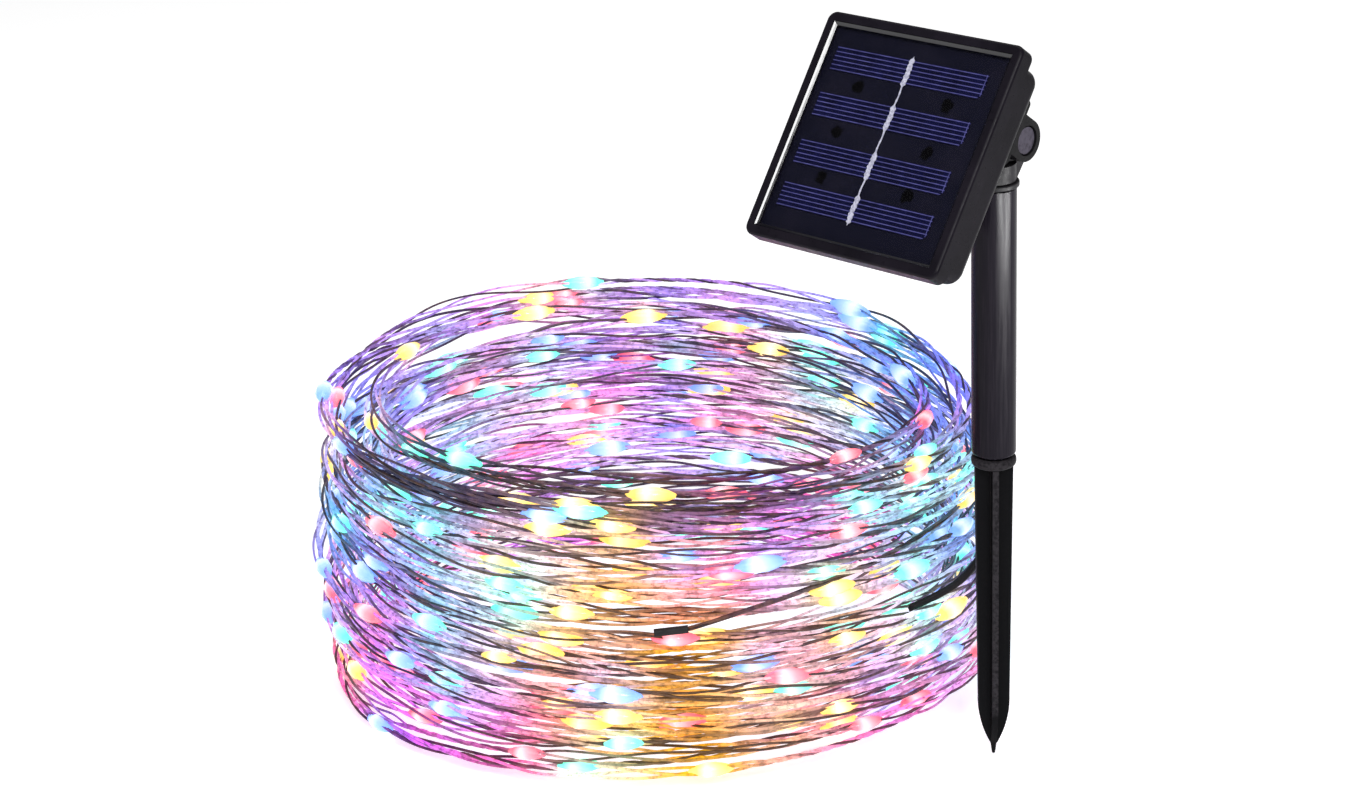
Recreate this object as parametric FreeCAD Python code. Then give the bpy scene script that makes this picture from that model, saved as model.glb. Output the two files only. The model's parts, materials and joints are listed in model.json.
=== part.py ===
import FreeCAD, Part
import math
import os

from FreeCAD import Vector

# Solar string lights: a solar head on a ground stake, its lead, and a loose coil of light string.
# Origin at the tip of the ground spike, +Z up along the stake, millimetres.
# The head is drawn in its own frame (X across the face, Y up the face, Z out of the face, origin
# at the centre of the front plane) and then set on the hinge. The neck is drawn about the stake
# with Y pointing away from the face, and then swivelled.

# ---- driving dimensions: pose of the head at rest ----
head_swivel = 43.7          # degrees, face turned to the left of straight ahead
head_lean = 36.0            # degrees, face leaned back from upright
pivot_height = 212.7        # tilt axis above the spike tip
pivot_setback = 5.0         # tilt axis behind the swivel axis
pivot_across = 23.0         # tilt hinge to the right of the face centre
pivot_up = 16.8             # tilt hinge above the face centre
pivot_behind_case = 8.9     # tilt axis behind the case

# ---- driving dimensions: head ----
head_size = 76.0
head_corner = 3.2
bezel_depth = 6.0
bezel_lip = 3.2
bezel_ledge = 3.6           # width of the ledge that carries the panel
edge_round = 1.1
cover_recess = 1.0
cover_thickness = 1.2
panel_fit = 0.15            # clearance round the laminated panel
board_thickness = 1.2
cell_thickness = 0.35
ribbon_thickness = 0.15
cell_length = 58.8
cell_width = 7.9
cell_chamfer = 1.4
cell_rows = (23.6, 8.1, -8.0, -22.4)
cell_shift = -1.8           # the strips sit a little left of the middle
ribbon_width = 1.1
ribbon_overhang = 1.3
gasket_thickness = 0.8
gasket_width = 1.6
gasket_inset = 3.8
case_inset = 2.8
case_wall = 1.8
battery_room = 1.0          # battery to the wall and the board, both sides together
case_corner = 5.0
case_back_round = 3.0

# ---- driving dimensions: fasteners of the case ----
boss_inset = 9.2
boss_diameter = 5.4
screw_diameter = 2.2
screw_fit = 0.05
screw_head_diameter = 4.2
screw_head_height = 1.6
screw_recess = 1.8
screw_clear = 0.2
case_screw_length = 7.5
pad_diameter = 6.8
pad_height = 1.5
part_gap = 0.1

# ---- driving dimensions: hinge ----
ear_radius = 6.6
ear_thickness = 4.4
tongue_width = 9.0
tongue_radius = 6.4
hinge_clearance = 0.1
bracket_base_thickness = 2.2
bracket_base_height = 22.0
bracket_base_overhang = 1.0
bracket_screw_spread = 8.4
bracket_screw_length = 5.0
bracket_boss_height = 3.6
bolt_diameter = 4.0
bolt_fit = 0.05
bolt_head_diameter = 9.0
bolt_head_height = 1.2
bolt_recess_diameter = 9.5
bolt_recess_depth = 1.7
nut_flats = 7.0
nut_height = 2.4
nut_pocket_depth = 3.2
washer_diameter = 6.8
washer_thickness = 0.5

# ---- driving dimensions: neck, tube and spike ----
collar_diameter = 15.8
collar_height = 1.8
groove_height = 0.5
groove_diameter = 12.8
neck_post_diameter = 13.8
ear_sweep_gap = 0.5
tube_diameter = 14.3
tube_wall = 1.5
tube_bottom = 108.6
tube_top = 197.6
tube_edge_round = 1.1
spigot_fit = 0.05
neck_spigot_length = 16.0
seal_section = 1.5
seal_depth = 6.0
spike_spigot_length = 22.0
bead_diameter = 14.5
bead_height = 3.5
bead_gap = 0.6
spike_neck_diameter = 11.2
fin_thickness = 2.0
fin_top_width = 12.4
fin_shoulder_width = 10.4
fin_shoulder_height = 21.7
spike_tip_height = 4.1
spike_tip_diameter = 2.2
spike_core_diameter = 3.6

# ---- driving dimensions: battery, board and buttons ----
battery_diameter = 10.3
battery_length = 44.4
battery_nub_diameter = 3.6
battery_nub_length = 1.0
battery_row = -21.6
battery_rib_thickness = 1.4
contact_thickness = 0.4
contact_size = 8.0
board_length = 38.0
board_height = 27.0
board_depth = 1.6
board_centre = (-9.0, 8.5)
board_stand = 3.9           # back wall to circuit board
board_post_diameter = 4.4
board_post_inset = 3.2
button_spots = (("power_button", -19.0), ("mode_button", -5.0))
button_row = 8.5
button_diameter = 8.0
button_fit = 0.05
button_flange_diameter = 10.2
button_flange_height = 0.8
button_proud = 1.1
button_shoulder = 0.1
switch_size = 6.0
switch_height = 1.8
switch_stem_diameter = 3.2
switch_stem_height = 0.5
wire_diameter = 1.0

# ---- driving dimensions: lead and coil ----
gland_spot = (4.0, -2.0)
gland_diameter = 7.4
gland_flange_height = 2.0
gland_relief_length = 10.0
gland_relief_tip = 3.8
gland_bore_fit = 0.05
lead_diameter = 2.6
lead_straight = 6.9         # straight run past the strain relief
coil_centre = (-108.0, 84.0)
coil_half_length = 122.0
coil_half_depth = 107.0
coil_height = 104.0
coil_thickness = 21.0
coil_foot_inset = 6.0
coil_top_inset = 9.0
coil_slope = 3.4            # degrees, the top falls towards the stake
end_cap_diameter = 2.6
end_cap_length = 11.0
end_cap_spot = (-100.0, -21.6, 61.0)

# ---- planes worked out from them ----
window_size = head_size - 2 * bezel_lip
panel_size = window_size - 2 * panel_fit
cover_bottom = -cover_recess - cover_thickness
ribbon_bottom = cover_bottom - ribbon_thickness
board_face = ribbon_bottom - cell_thickness
board_back = board_face - board_thickness
gasket_back = -bezel_depth - gasket_thickness
case_depth = battery_diameter + battery_room
case_back = gasket_back - case_depth
pivot_behind_face = pivot_behind_case - case_back
case_floor = case_back + case_wall
case_size = head_size - 2 * case_inset
boss_spot = head_size / 2 - boss_inset
pad_top = case_floor + pad_height
tube_bore = tube_diameter - 2 * tube_wall
clevis_width = tongue_width + 2 * (hinge_clearance + ear_thickness)
circuit_back = case_floor + board_stand
circuit_face = circuit_back + board_depth


def unit_frame():
    """Directions of the head at rest: across, up and out of the face, and straight back."""
    swivel = math.radians(head_swivel)
    lean = math.radians(head_lean)
    across = Vector(math.cos(swivel), -math.sin(swivel), 0)
    back = Vector(math.sin(swivel), math.cos(swivel), 0)
    up = Vector(0, 0, 1) * math.cos(lean) + back * math.sin(lean)
    out = back * -math.cos(lean) + Vector(0, 0, 1) * math.sin(lean)
    return across, back, up, out


def axes_placement(x, y, z, origin):
    """Placement that takes the local axes to x, y and z at origin."""
    matrix = FreeCAD.Matrix(
        x.x, y.x, z.x, origin.x,
        x.y, y.y, z.y, origin.y,
        x.z, y.z, z.z, origin.z,
        0, 0, 0, 1,
    )
    return FreeCAD.Placement(matrix)


ACROSS, BACK, UP, OUT = unit_frame()
PIVOT = BACK * pivot_setback + Vector(0, 0, pivot_height)
FACE_CENTRE = PIVOT + OUT * pivot_behind_face - ACROSS * pivot_across - UP * pivot_up
HEAD = axes_placement(ACROSS, UP, OUT, FACE_CENTRE)
NECK = axes_placement(ACROSS, BACK, Vector(0, 0, 1), Vector(0, 0, 0))


def box(x, y, z, dx, dy, dz):
    """Block with its lowest corner at x, y, z."""
    return Part.makeBox(dx, dy, dz, Vector(x, y, z))


def slab(width, height, z_low, z_high, x=0.0, y=0.0):
    """Block centred on x, y between two levels."""
    return box(x - width / 2, y - height / 2, z_low, width, height, z_high - z_low)


def upright_edges(shape):
    """Edges of a shape that run along Z."""
    found = []
    for edge in shape.Edges:
        if len(edge.Vertexes) == 2:
            run = edge.Vertexes[1].Point - edge.Vertexes[0].Point
            if abs(run.z) > 1e-6 and abs(run.x) + abs(run.y) < 1e-6:
                found.append(edge)
    return found


def edges_at(shape, level):
    """Edges of a shape that lie in the plane z = level."""
    found = []
    for edge in shape.Edges:
        bounds = edge.BoundBox
        if abs(bounds.ZMin - level) < 1e-6 and abs(bounds.ZMax - level) < 1e-6:
            found.append(edge)
    return found


def round_slab(size, radius, z_low, z_high):
    """Square slab with rounded corners."""
    block = slab(size, size, z_low, z_high)
    return block.makeFillet(radius, upright_edges(block))


def pin(x, y, z_low, z_high, diameter):
    """Round post along Z."""
    return Part.makeCylinder(diameter / 2, z_high - z_low, Vector(x, y, z_low))


def cross_pin(x_low, x_high, y, z, diameter):
    """Round post along X."""
    return Part.makeCylinder(diameter / 2, x_high - x_low, Vector(x_low, y, z), Vector(1, 0, 0))


def hexagon_prism(x_low, x_high, y, z, flats):
    """Hexagonal prism along X."""
    radius = flats / math.sqrt(3)
    corners = []
    for step in range(7):
        angle = math.radians(60 * step)
        corners.append(Vector(x_low, y + radius * math.cos(angle), z + radius * math.sin(angle)))
    return Part.Face(Part.makePolygon(corners)).extrude(Vector(x_high - x_low, 0, 0))


def corner_spots():
    """Places of the four case screws."""
    return [(sx * boss_spot, sy * boss_spot) for sx in (-1, 1) for sy in (-1, 1)]


def front_bezel():
    """Front frame: raised rounded lip, ledge under the panel, four screw bosses behind."""
    body = round_slab(head_size, head_corner, -bezel_depth, 0)
    body = body.makeFillet(edge_round, edges_at(body, 0))
    body = body.cut(slab(window_size, window_size, board_back, 1))
    opening = window_size - 2 * bezel_ledge
    body = body.cut(slab(opening, opening, -bezel_depth - 1, 0))
    # the bosses reach from the ledge to the pads of the rear case
    for x, y in corner_spots():
        body = body.fuse(pin(x, y, pad_top + part_gap, board_back, boss_diameter))
        hole_top = board_back - case_wall
        body = body.cut(pin(x, y, pad_top, hole_top, screw_diameter + 2 * screw_fit))
    return body.removeSplitter()


def panel_cover():
    """Clear face of the panel."""
    return slab(panel_size, panel_size, cover_bottom, -cover_recess)


def cell_board():
    """Dark board that carries the cells."""
    return slab(panel_size, panel_size, board_back, board_face)


def cell_strip(row):
    """One cell strip with its clipped lower right corner."""
    left = cell_shift - cell_length / 2
    right = cell_shift + cell_length / 2
    low = row - cell_width / 2
    outline = [
        Vector(left, low, board_face),
        Vector(right - cell_chamfer, low, board_face),
        Vector(right, low + cell_chamfer, board_face),
        Vector(right, low + cell_width, board_face),
        Vector(left, low + cell_width, board_face),
        Vector(left, low, board_face),
    ]
    return Part.Face(Part.makePolygon(outline)).extrude(Vector(0, 0, cell_thickness))


def cell_ribbon():
    """Tab ribbon that runs across all the strips."""
    top = cell_rows[0] + cell_width / 2 + ribbon_overhang
    bottom = cell_rows[-1] - cell_width / 2 - ribbon_overhang
    low_x = cell_shift - ribbon_width / 2
    return box(low_x, bottom, ribbon_bottom, ribbon_width, top - bottom, ribbon_thickness)


def case_gasket():
    """Square seal between the bezel and the rear case."""
    outer = head_size - 2 * gasket_inset
    ring = round_slab(outer, case_corner - 1, gasket_back, -bezel_depth)
    inner = outer - 2 * gasket_width
    return ring.cut(slab(inner, inner, gasket_back, -bezel_depth))


def case_screw_cut(x, y):
    """Counterbored hole for one case screw."""
    hole = pin(x, y, case_back - 1, pad_top + 1, screw_diameter + 2 * screw_clear)
    recess = pin(x, y, case_back - 1, case_back + screw_recess, screw_head_diameter + 2 * screw_clear)
    return hole.fuse(recess)


def bracket_screw_spots():
    """Places of the two bracket screws."""
    return [(pivot_across, pivot_up + side * bracket_screw_spread) for side in (-1, 1)]


def board_post_spots():
    """Places of the two posts under the circuit board."""
    half_x = board_length / 2 - board_post_inset
    half_y = board_height / 2 - board_post_inset
    return [
        (board_centre[0] - half_x, board_centre[1] - half_y),
        (board_centre[0] + half_x, board_centre[1] + half_y),
    ]


def rear_case():
    """Tray behind the bezel, with pads, posts, battery ribs and its holes."""
    body = round_slab(case_size, case_corner, case_back, gasket_back)
    body = body.makeFillet(case_back_round, edges_at(body, case_back))
    inner = case_size - 2 * case_wall
    cavity = slab(inner, inner, case_floor, gasket_back + 1)
    cavity = cavity.makeFillet(case_corner - case_wall, upright_edges(cavity))
    body = body.cut(cavity)
    for x, y in corner_spots():
        body = body.fuse(pin(x, y, case_floor, pad_top, pad_diameter))
    for x, y in bracket_screw_spots():
        boss_top = case_floor + bracket_boss_height
        body = body.fuse(pin(x, y, case_floor, boss_top, boss_diameter))
    for x, y in board_post_spots():
        body = body.fuse(pin(x, y, case_floor, circuit_back, board_post_diameter))
    rib_top = case_floor + battery_diameter * 0.6
    for side in (-1, 1):
        rib_x = side * (battery_length / 2 + battery_nub_length + contact_thickness + part_gap)
        low_x = min(rib_x, rib_x + side * battery_rib_thickness)
        low_y = battery_row - contact_size / 2
        rib = box(low_x, low_y, case_floor, battery_rib_thickness, contact_size, rib_top - case_floor)
        body = body.fuse(rib)
    for x, y in corner_spots():
        body = body.cut(case_screw_cut(x, y))
    for x, y in bracket_screw_spots():
        hole_top = case_floor + bracket_boss_height
        body = body.cut(pin(x, y, case_back - 1, hole_top, screw_diameter + 2 * screw_fit))
    for _, x in button_spots:
        body = body.cut(pin(x, button_row, case_back - 1, case_floor + 1, button_diameter + 2 * button_fit))
    lead_hole = lead_diameter + 2 * gland_bore_fit
    body = body.cut(pin(gland_spot[0], gland_spot[1], case_back - 1, case_floor + 1, lead_hole))
    return body.removeSplitter()


def screw(x, y, head_low, length):
    """Pan-head screw pointing into the case, with its cross recess."""
    head_high = head_low + screw_head_height
    shape = pin(x, y, head_low, head_high, screw_head_diameter)
    shape = shape.fuse(pin(x, y, head_high, head_high + length, screw_diameter))
    slot = screw_head_height / 2
    width = screw_diameter / 4
    reach = screw_head_diameter * 0.6
    cross = slab(reach, width, head_low - 1, head_low + slot, x, y)
    cross = cross.fuse(slab(width, reach, head_low - 1, head_low + slot, x, y))
    return shape.cut(cross)


def case_screws():
    """Four screws in the counterbores of the case."""
    head_low = case_back + screw_recess - screw_head_height
    return Part.makeCompound([screw(x, y, head_low, case_screw_length) for x, y in corner_spots()])


def hinge_bracket():
    """Clevis on the back of the case: base plate and two round ears."""
    base_low = case_back - bracket_base_thickness
    base_width = clevis_width + 2 * bracket_base_overhang
    body = slab(base_width, bracket_base_height, base_low, case_back, pivot_across, pivot_up)
    body = body.makeFillet(2.0, upright_edges(body))
    axis_z = -pivot_behind_face
    for side in (-1, 1):
        inner = pivot_across + side * (tongue_width / 2 + hinge_clearance)
        outer = inner + side * ear_thickness
        low = min(inner, outer)
        ear = cross_pin(low, low + ear_thickness, pivot_up, axis_z, 2 * ear_radius)
        arm = box(low, pivot_up - ear_radius, axis_z, ear_thickness, 2 * ear_radius, base_low - axis_z)
        body = body.fuse(ear.fuse(arm))
    right = pivot_across + clevis_width / 2
    left = pivot_across - clevis_width / 2
    body = body.cut(cross_pin(left - 1, right + 1, pivot_up, axis_z, bolt_diameter + 2 * bolt_fit))
    recess = cross_pin(right - bolt_recess_depth, right + 1, pivot_up, axis_z, bolt_recess_diameter)
    body = body.cut(recess)
    pocket = hexagon_prism(left - 1, left + nut_pocket_depth, pivot_up, axis_z, nut_flats + 2 * bolt_fit)
    body = body.cut(pocket)
    for x, y in bracket_screw_spots():
        body = body.cut(pin(x, y, base_low - 1, case_back + 1, screw_diameter + 2 * screw_clear))
        head = screw_head_diameter + 2 * screw_clear
        body = body.cut(pin(x, y, base_low - 1, base_low + screw_head_height, head))
    return body.removeSplitter()


def bracket_screws():
    """Two screws sunk in the base of the clevis."""
    head_low = case_back - bracket_base_thickness
    spots = bracket_screw_spots()
    return Part.makeCompound([screw(x, y, head_low, bracket_screw_length) for x, y in spots])


def hinge_bolt():
    """Bolt with a wide flat head sunk in the right ear."""
    right = pivot_across + clevis_width / 2 - bolt_recess_depth
    left = pivot_across - clevis_width / 2 + part_gap
    axis_z = -pivot_behind_face
    head = cross_pin(right, right + bolt_head_height, pivot_up, axis_z, bolt_head_diameter)
    rim = [edge for edge in head.Edges if abs(edge.BoundBox.XMin - right - bolt_head_height) < 1e-6]
    head = head.makeChamfer(bolt_head_height / 4, rim)
    return head.fuse(cross_pin(left, right, pivot_up, axis_z, bolt_diameter))


def hinge_washer():
    """Washer under the nut."""
    floor = pivot_across - clevis_width / 2 + nut_pocket_depth
    axis_z = -pivot_behind_face
    disc = cross_pin(floor - washer_thickness, floor, pivot_up, axis_z, washer_diameter)
    bore = bolt_diameter + 2 * bolt_fit
    return disc.cut(cross_pin(floor - 1, floor + 1, pivot_up, axis_z, bore))


def hinge_nut():
    """Hexagon nut in the left ear."""
    high = pivot_across - clevis_width / 2 + nut_pocket_depth - washer_thickness
    axis_z = -pivot_behind_face
    nut = hexagon_prism(high - nut_height, high, pivot_up, axis_z, nut_flats)
    bore = bolt_diameter + 2 * bolt_fit
    return nut.cut(cross_pin(high - nut_height - 1, high + 1, pivot_up, axis_z, bore))


def neck_knuckle():
    """Tongue, post, collar and spigot that turns in the tube."""
    groove_low = tube_top + part_gap / 2
    collar_low = tube_top + groove_height
    collar_high = collar_low + collar_height
    post_high = pivot_height - ear_radius - ear_sweep_gap
    spigot = tube_bore - 2 * spigot_fit
    body = pin(0, 0, tube_top - neck_spigot_length, groove_low, spigot)
    body = body.fuse(pin(0, 0, groove_low, collar_low, groove_diameter))
    collar = pin(0, 0, collar_low, collar_high, collar_diameter)
    collar = collar.makeFillet(collar_height / 4, edges_at(collar, collar_high) + edges_at(collar, collar_low))
    body = body.fuse(collar)
    body = body.fuse(pin(0, 0, collar_high, post_high, neck_post_diameter))
    half = tongue_width / 2
    foot = neck_post_diameter / 2 - 1
    outline = [
        Vector(-half, -foot, collar_high),
        Vector(-half, foot, collar_high),
        Vector(-half, pivot_setback + tongue_radius, post_high + 1),
        Vector(-half, pivot_setback + tongue_radius, pivot_height),
        Vector(-half, pivot_setback - tongue_radius, pivot_height),
        Vector(-half, pivot_setback - tongue_radius - 2.5, post_high),
        Vector(-half, -foot, collar_high),
    ]
    body = body.fuse(Part.Face(Part.makePolygon(outline)).extrude(Vector(tongue_width, 0, 0)))
    body = body.fuse(cross_pin(-half, half, pivot_setback, pivot_height, 2 * tongue_radius))
    bore = bolt_diameter + 2 * bolt_fit
    body = body.cut(cross_pin(-half - 1, half + 1, pivot_setback, pivot_height, bore))
    level = tube_top - seal_depth
    groove = pin(0, 0, level - seal_section / 2, level + seal_section / 2, tube_bore)
    groove = groove.cut(pin(0, 0, level - seal_section, level + seal_section, tube_bore - 2 * seal_section))
    return body.cut(groove).removeSplitter()


def neck_ring():
    """Rubber ring in the groove of the spigot, which gives the swivel its drag."""
    section = (seal_section - part_gap) / 2
    return Part.makeTorus(tube_bore / 2 - part_gap / 2 - section, section, Vector(0, 0, tube_top - seal_depth))


def stake_tube():
    """Plain tube with a rounded lower edge."""
    body = pin(0, 0, tube_bottom, tube_top, tube_diameter)
    body = body.makeFillet(min(tube_edge_round, tube_wall * 0.8), edges_at(body, tube_bottom))
    return body.cut(pin(0, 0, tube_bottom - 1, tube_top + 1, tube_bore))


def fin_outline():
    """Half outline of one fin: straight taper, then a rounded ogive down to the blunt tip."""
    top = tube_bottom - bead_gap - bead_height
    shoulder = Vector(fin_shoulder_width / 2, 0, fin_shoulder_height)
    tip = Vector(spike_tip_diameter / 2, 0, spike_tip_height)
    middle = (shoulder + tip) * 0.5
    bulge = Vector(shoulder.z - tip.z, 0, tip.x - shoulder.x).normalize() * 1.2
    corners = (
        Vector(0, 0, top),
        Vector(fin_top_width / 2, 0, top),
        shoulder,
    )
    edges = [
        Part.LineSegment(corners[0], corners[1]).toShape(),
        Part.LineSegment(corners[1], corners[2]).toShape(),
        Part.Arc(shoulder, middle + bulge, tip).toShape(),
        Part.LineSegment(tip, Vector(0, 0, spike_tip_height)).toShape(),
        Part.LineSegment(Vector(0, 0, spike_tip_height), Vector(0, 0, top)).toShape(),
    ]
    return Part.Wire(edges)


def ground_spike():
    """Cross-finned spike with a bead and a spigot that pushes into the tube."""
    bead_low = tube_bottom - bead_gap - bead_height
    bead_high = bead_low + bead_height
    half_fin = Part.Face(fin_outline()).extrude(Vector(0, fin_thickness, 0))
    half_fin.translate(Vector(0, -fin_thickness / 2, 0))
    body = None
    for quarter in range(4):
        fin = half_fin.copy()
        fin.rotate(Vector(0, 0, 0), Vector(0, 0, 1), 90 * quarter)
        body = fin if body is None else body.fuse(fin)
    # the rounded nib reaches down to the origin
    cone_height = bead_low - spike_tip_height
    core = Part.makeCone(spike_tip_diameter / 2, spike_core_diameter / 2, cone_height,
                         Vector(0, 0, spike_tip_height))
    nib = Part.makeCone(spike_tip_diameter / 4, spike_tip_diameter / 2, spike_tip_height)
    body = body.fuse(core).fuse(nib)
    bead = pin(0, 0, bead_low, bead_high, bead_diameter)
    bead = bead.makeFillet(bead_height * 0.42, edges_at(bead, bead_low) + edges_at(bead, bead_high))
    body = body.fuse(bead)
    body = body.fuse(pin(0, 0, bead_high - part_gap, tube_bottom + part_gap, spike_neck_diameter))
    spigot = tube_bore - 2 * spigot_fit
    body = body.fuse(pin(0, 0, tube_bottom, tube_bottom + spike_spigot_length, spigot))
    return body.removeSplitter()


def battery_axis():
    """Height of the battery's axis above the case floor, as a level."""
    return case_floor + battery_diameter / 2 + part_gap


def battery_cell():
    """Rechargeable cell with its positive nub on the right."""
    z = battery_axis()
    half = battery_length / 2
    body = cross_pin(-half, half, battery_row, z, battery_diameter)
    return body.fuse(cross_pin(half, half + battery_nub_length, battery_row, z, battery_nub_diameter))


def battery_plate():
    """Flat positive contact in front of the right rib."""
    x = battery_length / 2 + battery_nub_length
    low_y = battery_row - contact_size / 2
    height = battery_diameter * 0.8
    return box(x, low_y, case_floor, contact_thickness, contact_size, height)


def battery_spring():
    """Leaf contact between the left rib and the cell: foot plate and a bowed leaf."""
    z = case_floor
    plate_x = -battery_length / 2 - battery_nub_length - contact_thickness
    touch_x = -battery_length / 2 - contact_thickness
    height = battery_diameter * 0.8
    path = [
        Vector(plate_x, 0, z),
        Vector(plate_x + contact_thickness, 0, z),
        Vector(plate_x + contact_thickness, 0, z + height * 0.2),
        Vector(touch_x + contact_thickness, 0, z + height * 0.55),
        Vector(plate_x + contact_thickness, 0, z + height * 0.9),
        Vector(plate_x + contact_thickness, 0, z + height),
        Vector(plate_x, 0, z + height),
        Vector(plate_x, 0, z),
    ]
    leaf = Part.Face(Part.makePolygon(path)).extrude(Vector(0, contact_size, 0))
    leaf.translate(Vector(0, battery_row - contact_size / 2, 0))
    return leaf


def circuit_board():
    """Board on two posts behind the panel."""
    return slab(board_length, board_height, circuit_back, circuit_face, *board_centre)


def control_chip():
    """Flasher chip with its two rows of legs."""
    x = board_centre[0] - 6
    y = board_centre[1] + 4
    body = slab(5.0, 4.0, circuit_face + 0.1, circuit_face + 1.6, x, y)
    for row in (-1, 1):
        for leg in range(4):
            leg_x = x + (leg - 1.5) * 1.27
            leg_y = y + row * 2.5
            body = body.fuse(slab(0.45, 1.4, circuit_face, circuit_face + 0.6, leg_x, leg_y))
    return body


def power_inductor():
    """Drum-shaped boost inductor."""
    x = board_centre[0] + 6
    y = board_centre[1] + 5
    body = pin(x, y, circuit_face, circuit_face + 4.0, 6.0)
    waist = pin(x, y, circuit_face + 0.9, circuit_face + 3.1, 6.2)
    waist = waist.cut(pin(x, y, circuit_face + 0.8, circuit_face + 3.2, 4.6))
    return body.cut(waist)


def smoothing_capacitor():
    """Capacitor can standing on the board."""
    x = board_centre[0] + 13
    y = board_centre[1] - 4
    can = pin(x, y, circuit_face, circuit_face + 4.6, 5.0)
    return can.makeFillet(0.5, edges_at(can, circuit_face + 4.6))


def tact_switches():
    """Two switches on the back of the board, one under each button."""
    solids = []
    for _, x in button_spots:
        low = circuit_back - switch_height
        body = slab(switch_size, switch_size, low, circuit_back, x, button_row)
        stem = pin(x, button_row, low - switch_stem_height, low, switch_stem_diameter)
        solids.append(body.fuse(stem))
    return Part.makeCompound(solids)


def button(x):
    """Push button with an inner flange."""
    flange_low = case_floor + button_shoulder
    body = pin(x, button_row, case_back - button_proud, flange_low, button_diameter)
    body = body.makeFillet(0.5, edges_at(body, case_back - button_proud))
    flange = pin(x, button_row, flange_low, flange_low + button_flange_height, button_flange_diameter)
    return body.fuse(flange)


def panel_wires():
    """Two wires from the panel down to the circuit board."""
    y = board_centre[1] + board_height / 2 - 2
    first = board_centre[0] - 2
    wires = [pin(first + side * 2, y, circuit_face, board_back, wire_diameter) for side in (-1, 1)]
    return Part.makeCompound(wires)


def lead_gland():
    """Grommet and tapered strain relief round the lead on the back of the case."""
    x, y = gland_spot
    flange = pin(x, y, case_back - gland_flange_height, case_back, gland_diameter)
    flange = flange.makeFillet(0.6, edges_at(flange, case_back - gland_flange_height))
    relief_top = gland_relief_tip + 2.0
    cone = Part.makeCone(gland_relief_tip / 2, relief_top / 2, gland_relief_length - gland_flange_height,
                         Vector(x, y, case_back - gland_relief_length))
    body = flange.fuse(cone)
    bore = lead_diameter + 2 * gland_bore_fit
    return body.cut(pin(x, y, case_back - gland_relief_length - 1, case_back + 1, bore))


def head_point(x, y, z):
    """A point of the head's own frame, at rest, as a vector."""
    return FACE_CENTRE + ACROSS * x + UP * y + OUT * z


def tube_along(points, diameter, name):
    """Round solid along straight runs joined by tangent arcs; prints its radii and its length."""
    edges = []
    start = points[0]
    length = 0.0
    radii = []
    for before, corner, after in zip(points, points[1:], points[2:]):
        run_in = corner - before
        run_out = after - corner
        turn = run_in.getAngle(run_out)
        reach = 0.45 * min(run_in.Length, run_out.Length)
        radius = reach / math.tan(turn / 2)
        radii.append(radius)
        u_in = Vector(run_in).normalize()
        u_out = Vector(run_out).normalize()
        arc_start = corner - u_in * reach
        arc_end = corner + u_out * reach
        inward = Vector(u_out - u_in).normalize()
        # the arc's middle lies on the bisector, short of the corner
        depth = radius / math.cos(turn / 2) - radius
        edges.append(Part.LineSegment(start, arc_start).toShape())
        edges.append(Part.Arc(arc_start, corner + inward * depth, arc_end).toShape())
        length += (arc_start - start).Length + radius * turn
        start = arc_end
    edges.append(Part.LineSegment(start, points[-1]).toShape())
    length += (points[-1] - start).Length
    path = Part.Wire(edges)
    direction = points[1] - points[0]
    profile = Part.Wire([Part.Circle(points[0], direction, diameter / 2).toShape()])
    solid = path.makePipeShell([profile], True, False)
    expected = math.pi * diameter ** 2 / 4 * length
    smallest = min(radii) / diameter
    print(f"{name}: length {length:.1f} mm, tightest bend {smallest:.1f} diameters, "
          f"volume ratio {solid.Volume / expected:.4f}")
    print("  radii", [round(radius, 1) for radius in radii])
    return solid


# The lead starts on the circuit board, leaves the case through the gland, swings behind the
# stake and goes down along it into the coil. Its points are chosen by hand, in millimetres.
lead_start = head_point(gland_spot[0], gland_spot[1], circuit_back)
lead_clear = head_point(gland_spot[0], gland_spot[1], case_back - gland_relief_length - lead_straight)
lead_joint = Vector(-1.2, 16.9, 162.4)
LEAD_UPPER = (
    lead_start,
    lead_clear,
    Vector(-7.6, 17.4, 184.2),
    Vector(-4.2, 18.0, 173.6),
    lead_joint,
)
LEAD_LOWER = (
    lead_joint,
    Vector(1.8, 15.8, 151.2),
    Vector(2.6, 14.2, 135.0),
    Vector(1.2, 13.7, 115.0),
    Vector(1.8, 13.2, 94.5),
    Vector(1.6, 14.4, 76.0),
    Vector(-3.4, 17.2, 61.0),
    Vector(-13.5, 18.6, 50.5),
    Vector(-26.5, 17.2, 46.0),
)


def coil_ring(half_x, half_y, level, slope):
    """Oval outline of the coil at one level, sloped down towards the stake."""
    oval = Part.Ellipse(Vector(0, 0, 0), max(half_x, half_y), min(half_x, half_y)).toShape()
    wire = Part.Wire([oval])
    if half_x < half_y:
        wire.rotate(Vector(0, 0, 0), Vector(0, 0, 1), 90)
    wire.rotate(Vector(0, 0, 0), Vector(0, 1, 0), slope)
    wire.translate(Vector(coil_centre[0], coil_centre[1], level))
    return wire


def coil_body(inset):
    """Barrel-sided oval solid, set in from the coil's outside by inset."""
    rings = []
    for level, narrowing, slope in (
        (0.0, coil_foot_inset, 0.0),
        (coil_height * 0.35, 0.0, coil_slope * 0.35),
        (coil_height, coil_top_inset, coil_slope),
    ):
        less = narrowing + inset
        rings.append(coil_ring(coil_half_length - less, coil_half_depth - less, level, slope))
    return Part.makeLoft(rings, True, True)


def light_string_coil():
    """Outer shape of the loose coil of light string: an oval ring with a sloping top."""
    outer = coil_body(0.0)
    return outer.cut(coil_body(coil_thickness))


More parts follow.
